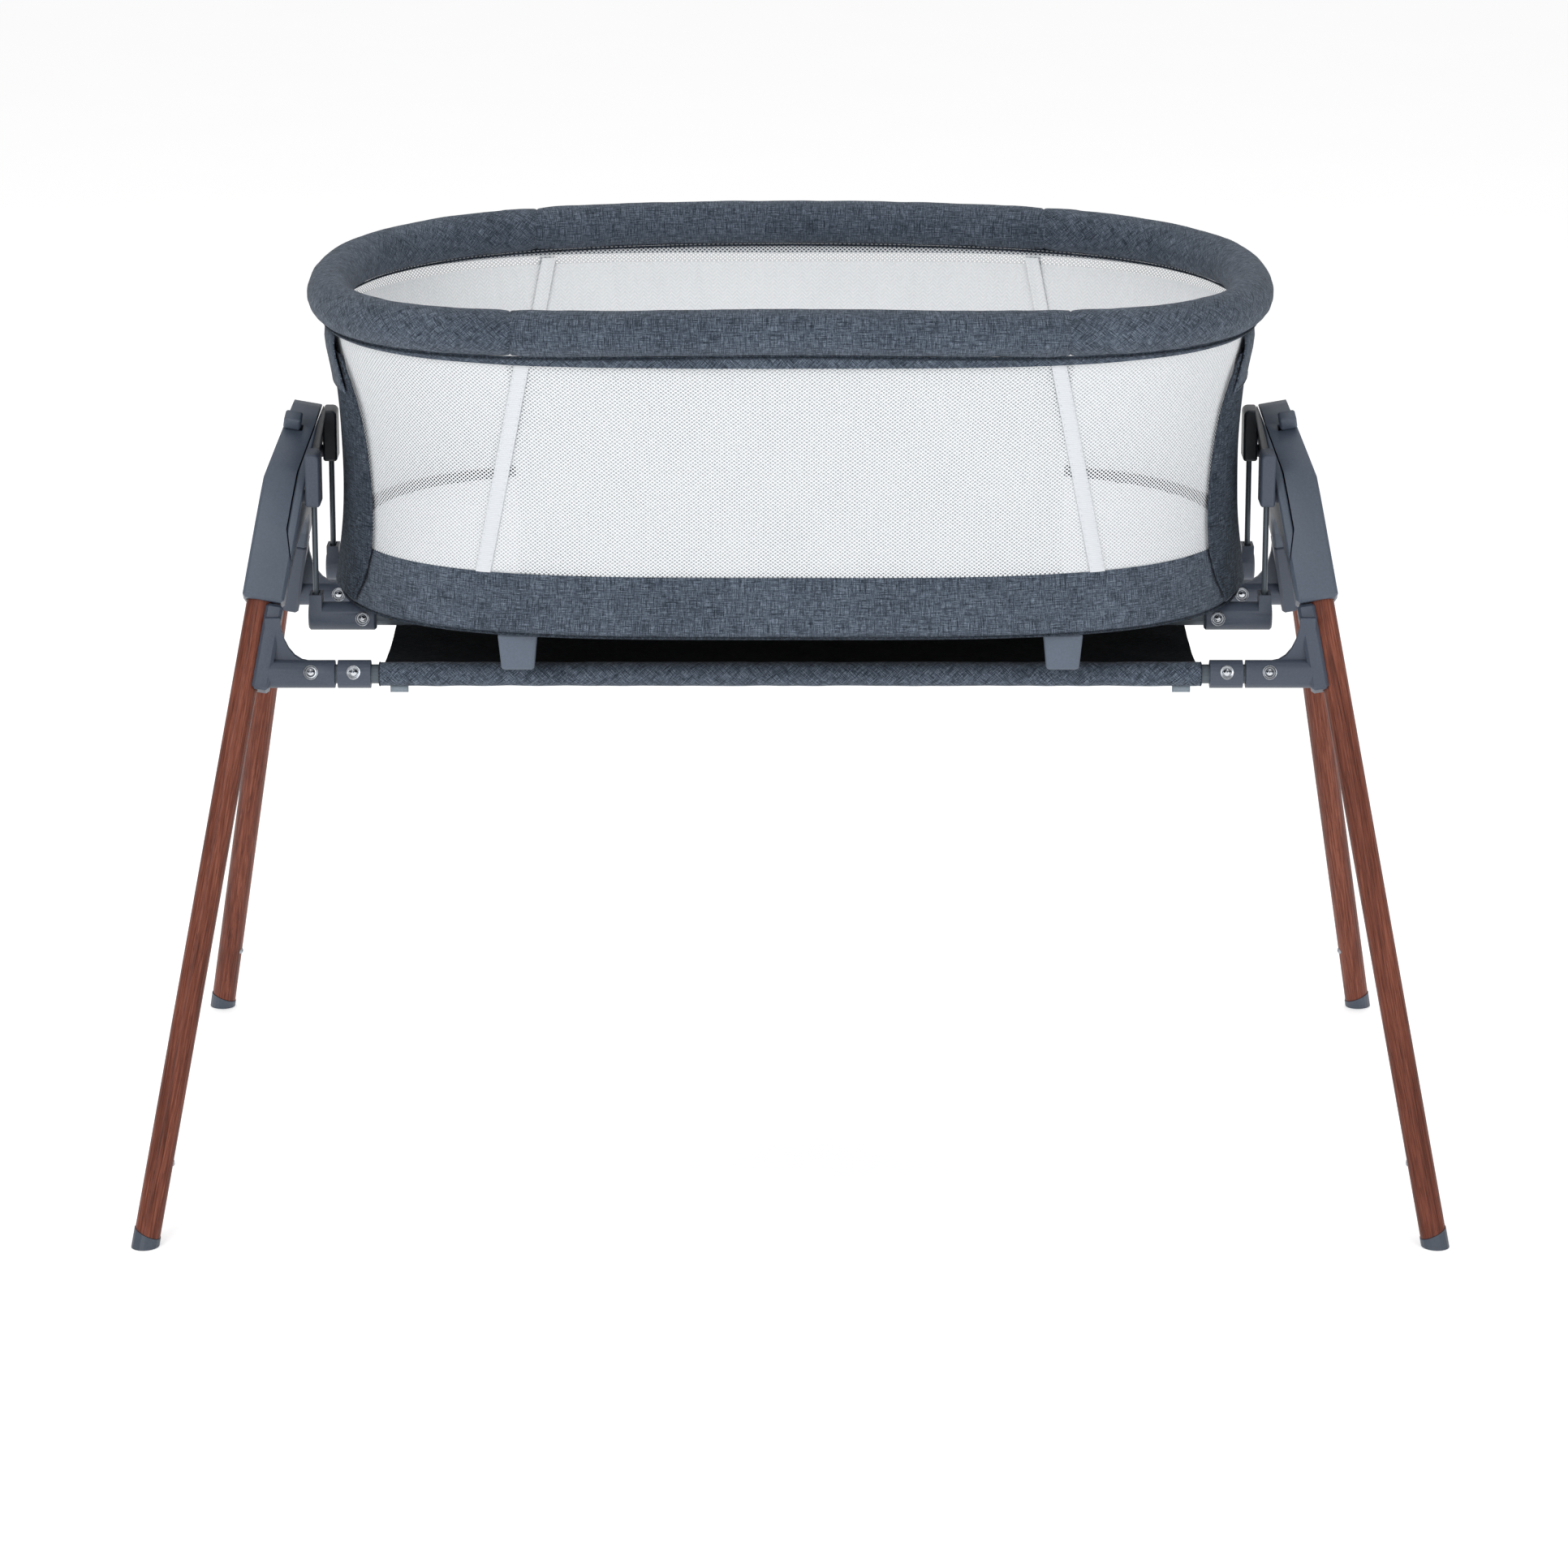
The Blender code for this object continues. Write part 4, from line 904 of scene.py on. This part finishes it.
END_SHAPE = ((0.4900, 0.108), (0.5150, 0.126), (0.5402, 0.135), (0.5600, 0.1375), (0.5800, 0.1388),
             (0.6000, 0.1392), (0.6200, 0.1386), (0.6350, 0.1375), (0.6500, 0.1355), (0.6650, 0.1315),
             (0.6800, 0.1250), (0.6900, 0.1185), (0.7000, 0.1100))


def half_at(z):
    """Half width of the end panel at a height."""
    for (z0, h0), (z1, h1) in zip(END_SHAPE, END_SHAPE[1:]):
        if z <= z1:
            return h0 + (h1 - h0) * (z - z0) / (z1 - z0)
    return END_SHAPE[-1][1]


def end_level(share):
    return END_LOW + (END_TOP - END_LOW) * share


def end_flap(side_name, side):
    """Flap that hangs from under the rim over the top of an end panel."""
    path = [(0.7150, 0.0026), (0.7105, 0.0048), (0.7040, 0.0064), (0.6960, 0.0068), (0.6880, 0.0064),
            (0.6800, 0.0060), (0.6740, 0.0058), (0.6690, 0.0057)]
    last, columns = len(path) - 1, 20
    run = [0.0]
    for (z0, push0), (z1, push1) in zip(path, path[1:]):
        run.append(run[-1] + hypot(push1 - push0, z1 - z0))

    def point(i, j):
        z, push = path[i]
        return end_at(FLAP_HALF * (1 + FLAP_SPREAD * i / last) * (2 * j / columns - 1), z, side, push)

    flap = surface(f"end_flap_{side_name}", (last, columns), point,
                   lambda i, j: (FLAP_HALF * 2 * j / columns, run[i]), [DIAGONAL])
    solid = flap.modifiers.new("thickness", "SOLIDIFY")
    solid.thickness = 0.0012
    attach(flap, "bassinet")
    above = Vector((side * 0.0006, 0, 0.0022))
    line = [point(last, columns * k / 80) + above for k in range(1, 80)]
    sewn = stitches(f"end_flap_stitch_{side_name}", line, SEAM_THREAD, (side, 0, 0))
    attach(sewn, "bassinet")


def end_panels():
    """Chambray panels over the ends, with topstitched S-shaped edges and a flap each."""
    rows, columns = 26, 40
    section = columns + 1
    for side_name, side in SIDES.items():
        def place(i, j, push):
            z = end_level(i / rows)
            y = half_at(z) * (2 * j / columns - 1)
            soft = noise.noise(Vector((y * 18, z * 18, side * 4.0))) * 0.0010
            return end_at(y, z, side, push + soft)

        def point(i, j):
            j = j % (2 * section)
            if j < section:
                return place(i, j, 0.0034 if j in (0, columns) else 0.0042)
            return place(i, 2 * section - 1 - j, 0.0024)

        def flat(i, j):
            k = j if j < section else 2 * section - 1 - j
            z = end_level(i / rows)
            return (half_at(z) * (2 * k / columns - 1), z)

        panel = surface(f"end_cover_{side_name}", (rows, 2 * section), point, flat, [END_CLOTH],
                        (False, True), caps=True)
        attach(panel, "bassinet")
        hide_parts(f"end_panel_{side_name}")
        for row_name, row in ROWS.items():
            def edge(count, inset, push):
                levels = [end_level(k / count) for k in range(count + 1)]
                return [end_at(row * (half_at(z) - inset), z, side, push) for z in levels]

            label = f"{side_name}_{row_name}"
            sewn = stitches(f"end_stitch_{label}_0", edge(104, 0.0045, 0.0046),
                            SEAM_THREAD, (side, row * 0.5, 0))
            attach(sewn, "bassinet")
            cord = tube_along(f"end_edge_{label}", edge(60, 0.0, 0.0034), 0.0010, END_CLOTH)
            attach(cord, "bassinet")
        end_flap(side_name, side)


def storage_sling():
    """Cloth between the rails, sewn into a tunnel round each of them; the sheet's middle is a much
    darker copy of the chambray, painted shade under the bassinet.
    """
    steps, across = 110, 20
    half = RAIL_Y - SLEEVE_R * 0.985
    profile = []
    for side in (1, -1):
        for k in range(across + 1):
            y = side * (-half + 2 * half * k / across)
            profile.append((y, side * 0.0012 - SLING_SAG * (1 - (y / half) ** 2)))
        for k in range(1, SLEEVE_STEPS):
            angle = (pi if side > 0 else 0) - 2 * pi * k / SLEEVE_STEPS
            profile.append((side * RAIL_Y + SLEEVE_R * cos(angle), SLEEVE_R * sin(angle)))
    run = lengths_round(profile)
    half_round = len(profile) // 2

    def is_middle(i, j):
        return 1 if j < across or half_round <= j < half_round + across - 1 else 0

    def point(i, j):
        y, z = profile[j % len(profile)]
        x = -SLING_HALF + 2 * SLING_HALF * i / steps
        if abs(y) < half:
            wave = noise.noise(Vector((x * 16, y * 9, 0))) * 0.0018
            wave += abs(noise.noise(Vector((x * 30 + y * 22, y * 6 - x * 5, 8.0)))) * 0.0030
            return Vector((x, y, RAIL_Z + z + wave * (1 - (y / half) ** 2)))
        pucker = noise.noise(Vector((x * 45, y * 30, 5.0))) * 0.0005
        centre_y = RAIL_Y if y > 0 else -RAIL_Y
        spoke = Vector((0, y - centre_y, z)).normalized()
        return Vector((x, centre_y, RAIL_Z)) + spoke * (SLEEVE_R + pucker)

    # the middle of the sheet takes the painted-shade copy of the chambray
    sling = surface("sling_cloth", (steps, len(profile)), point,
                    lambda i, j: (2 * SLING_HALF * i / steps, run[j]), [DIAGONAL, SLING_PAINTED_SHADE],
                    (False, True), material_of=is_middle)
    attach(sling, "stand")
    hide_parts("storage_sling")
    for side_name, side in SIDES.items():
        for row_name, row in ROWS.items():
            turns = [2 * pi * k / SLEEVE_STEPS for k in range(SLEEVE_STEPS)]
            rim = [(side * SLING_HALF, row * RAIL_Y + HEM_R * cos(a), RAIL_Z + HEM_R * sin(a))
                   for a in turns]
            # painted shade: the hem cord uses the darkened chambray copy
            hem = tube_along(f"sling_hem_{row_name}_{side_name}", rim, 0.0007, CORD_PAINTED_SHADE, 6, True)
            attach(hem, "stand")

            def tab(i, j):
                z = (-0.0098, -0.0120, -0.0152)[i]
                x = side * 0.3245 + 0.0075 * (2 * j / 4 - 1)
                return Vector((x, row * (RAIL_Y + 0.0006), RAIL_Z + z))

            strip = surface(f"sling_tab_{row_name}_{side_name}", (2, 4), tab,
                            lambda i, j: (0.015 * j / 4, 0.005 * i / 2), [WEBBING])
            solid = strip.modifiers.new("thickness", "SOLIDIFY")
            solid.thickness = 0.0014
            solid.offset = 0
            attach(strip, "stand")


# ---- hard details ----
def facing(direction, spot):
    """Puts +Z along the direction at the spot."""
    turn = Vector((0, 0, 1)).rotation_difference(Vector(direction)).to_matrix().to_4x4()
    return Matrix.Translation(spot) @ turn


def dome(name, spot, direction, node):
    """A snap button's polished dome on its stem, riding on the button's own body."""
    profile = [(0.0, DOME_Z + DOME_R)]
    for degrees in range(10, 91, 10):
        angle = radians(degrees)
        profile.append((DOME_R * sin(angle), DOME_Z + DOME_R * cos(angle)))
    profile += [(DOME_R, 0.0062), (0.0, 0.0062)]
    made = turned(name, profile, facing(direction, spot), [CHROME])
    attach(made, node)
    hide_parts(node)


def ring(name, spot, direction, body, surface_at):
    """The bright turned washer at the foot of a button's recess."""
    low = surface_at - 0.0012
    profile = [(0.0037, 0.0001), (0.0046, 0.0002), (0.0050, 0.0008), (0.0054, 0.0016), (0.0058, 0.0017),
               (0.0061, 0.0012), (0.0061, -0.0001), (0.0037, -0.0001), (0.0037, 0.0001)]
    profile = [(radius, low + height) for radius, height in profile]
    made = turned(name, profile, facing(direction, spot), [RING_STEEL])
    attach(made, body)


def buttons():
    """Snap buttons, rivets and leg screws."""
    for row_name, row, side_name, side in CORNERS:
        tilt = radians(RAIL_TILT) if row < 0 else 0.0
        up = (0, -cos(tilt), sin(tilt))
        label = f"{row_name}_{side_name}"
        spot = (side * RAIL_DOME_X, row * RAIL_Y, RAIL_Z)
        dome(f"rail_dome_{label}", spot, up, f"rail_button_{label}")
        ring(f"rail_ring_{label}", spot, up, "stand", 0.0117)
        spot = (side * HANGER_DOME_X, row * ROD_Y, HANG_Z)
        dome(f"hanger_dome_{label}", spot, (0, -1, 0), f"hanger_button_{label}")
        ring(f"hanger_ring_{label}", spot, (0, -1, 0), "bassinet", 0.0119)
        spot = Vector((side * RIVET_X, row * RAIL_Y, RAIL_Z)) + Vector(up) * -0.0003
        rivet = turned(f"collar_rivet_{label}", [
            (0.0, 0.0146), (0.0014, 0.0143), (0.0026, 0.0134), (0.0034, 0.0122), (0.0036, 0.0118),
            (0.0040, 0.0119), (0.0050, 0.0125), (0.0057, 0.0125), (0.0060, 0.0120), (0.0060, 0.0105),
            (0.0, 0.0100)],
            facing(up, spot), [CHROME, RING_STEEL], bands=[0] * 4 + [1] * 6)
        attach(rivet, "stand")
        centre = Vector((side * (FOOT_X - LEAN * SCREW_RISE), row * (FOOT_Y - SPLAY * SCREW_RISE),
                         SCREW_RISE))
        out = Vector((-side, -row * 0.35, 0)).normalized()
        screw = turned(f"leg_screw_{label}", [
            (0.0, 0.0118), (0.0009, 0.0118), (0.0010, 0.0123), (0.0022, 0.0121), (0.0031, 0.0113),
            (0.0033, 0.0100), (0.0, 0.0095)], facing(out, centre), [RING_STEEL])
        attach(screw, "stand")


def softened(node_name, body, mat, width):
    """A moulded piece with rounded edges and smooth curved faces."""
    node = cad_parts[node_name]
    bm = bmesh.new()
    bm.from_mesh(node.data)
    bm.transform(node.matrix_world)
    bmesh.ops.remove_doubles(bm, verts=bm.verts, dist=0.00002)
    bmesh.ops.dissolve_limit(bm, angle_limit=radians(1), verts=bm.verts, edges=bm.edges)
    piece = finish_object("moulded_" + node_name, bm, [mat], 180)
    bevel = piece.modifiers.new("edges", "BEVEL")
    bevel.width = width
    bevel.segments = 3
    bevel.limit_method = "ANGLE"
    bevel.angle_limit = radians(28)
    bevel.harden_normals = True
    bevel.use_clamp_overlap = True
    applied(piece)
    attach(piece, body)
    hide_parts(node_name)


def mouldings():
    """The plastic covers and brackets, softened."""
    for side_name in SIDES:
        softened(f"arch_outer_cover_{side_name}", "stand", SLATE_ARCH, 0.0016)
        softened(f"arch_inner_cover_{side_name}", "stand", SLATE_ARCH, 0.0012)
        slider = f"lock_slider_{side_name}"
        softened(slider, slider, SLATE_ARCH, 0.0010)
        for row_name in ROWS:
            label = f"{row_name}_{side_name}"
            softened(f"corner_bracket_{label}", "stand", SLATE, 0.0012)
            softened(f"hanger_bracket_{label}", "bassinet", SLATE, 0.0010)
            # painted shade: the rear pivot covers, which sit in shade, get black plastic while the front
            # ones keep the slate
            cover = SLATE if row_name == "front" else PIVOT_SHADE_BLACK
            softened(f"pivot_cover_{label}", "stand", cover, 0.0010)


def paint_cad():
    """Procedural materials for the CAD nodes that stay."""
    by_prefix = {
        "foot_cap": SLATE_FOOT, "rail_collar": SLATE, "hanger_tube": PAINTED, "swing_rod": PAINTED,
        "under_foot": SLATE_LIGHT, "front_rail": PAINTED, "rear_rail": PAINTED, "base_board": BOARD,
        "rim_frame": PAINTED}
    woods = {(row_name, side_name): wood_film(f"wood_film_{row_name}_{side_name}",
                                              (-side * LEAN, -row * SPLAY, 1.0))
             for row_name, row, side_name, side in CORNERS}
    for name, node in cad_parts.items():
        mat = None
        if name.startswith("leg_"):
            mat = woods[tuple(name.split("_")[1:3])]
        for prefix, look in by_prefix.items():
            if name.startswith(prefix):
                mat = look
        if mat is None:
            continue
        for slot in node.material_slots:
            slot.material = mat


# ---- floor, light and camera ----
def stage():
    """The pale floor, the even world light and three soft lamps."""
    bm = bmesh.new()
    bmesh.ops.create_grid(bm, x_segments=8, y_segments=8, size=20.0)
    look = Look("studio_floor", (0.93, 0.93, 0.93), 0.9)
    soft = look.noise(look.world(), 3.0, 2.0)
    look.color(soft, [(0.0, (0.93, 0.93, 0.93)), (1.0, (0.95, 0.95, 0.95))])
    look.set("Specular IOR Level", 0.0)
    look.set("Emission Color", (1.0, 1.0, 1.0, 1.0))
    look.set("Emission Strength", 0.42)
    floor = finish_object("studio_floor", bm, [look.mat])
    floor.location = (0, 8, -0.0005)

    world = bpy.data.worlds.new("studio")
    world.use_nodes = True
    background = world.node_tree.nodes["Background"]
    background.inputs["Color"].default_value = (1.0, 1.0, 1.0, 1.0)
    background.inputs["Strength"].default_value = 0.56
    bpy.context.scene.world = world
    bpy.context.scene.view_settings.view_transform = "Standard"

    aim = Vector((0, 0, 0.5))
    for name, spot, size, power in (
            ("key", (-1.9, -3.6, 2.5), 2.2, 62),
            ("fill", (2.6, -3.2, 1.8), 2.4, 34),
            ("top", (0.0, 0.8, 3.4), 2.8, 30)):
        lamp = bpy.data.lights.new(name, "AREA")
        lamp.size = size
        lamp.energy = power
        holder = bpy.data.objects.new(name, lamp)
        bpy.context.scene.collection.objects.link(holder)
        holder.location = spot
        holder.rotation_euler = (aim - Vector(spot)).to_track_quat("-Z", "Y").to_euler()


def camera():
    """The photograph's view: from the front, 15 degrees above the level."""
    lens = bpy.data.cameras.new("camera")
    lens.sensor_width = 36.0
    lens.lens = 129.82
    lens.shift_x = -0.004
    lens.clip_end = 60.0
    holder = bpy.data.objects.new("camera", lens)
    bpy.context.scene.collection.objects.link(holder)
    holder.location = (0, -4.7008, 1.5831)
    holder.rotation_euler = (pi / 2 - 0.2659, 0, 0)
    bpy.context.scene.camera = holder


camera()
stage()
paint_cad()
rim_cover()
rim_binding()
mesh_walls()
tapes()
lower_band()
mattress()
end_panels()
storage_sling()
buttons()
mouldings()
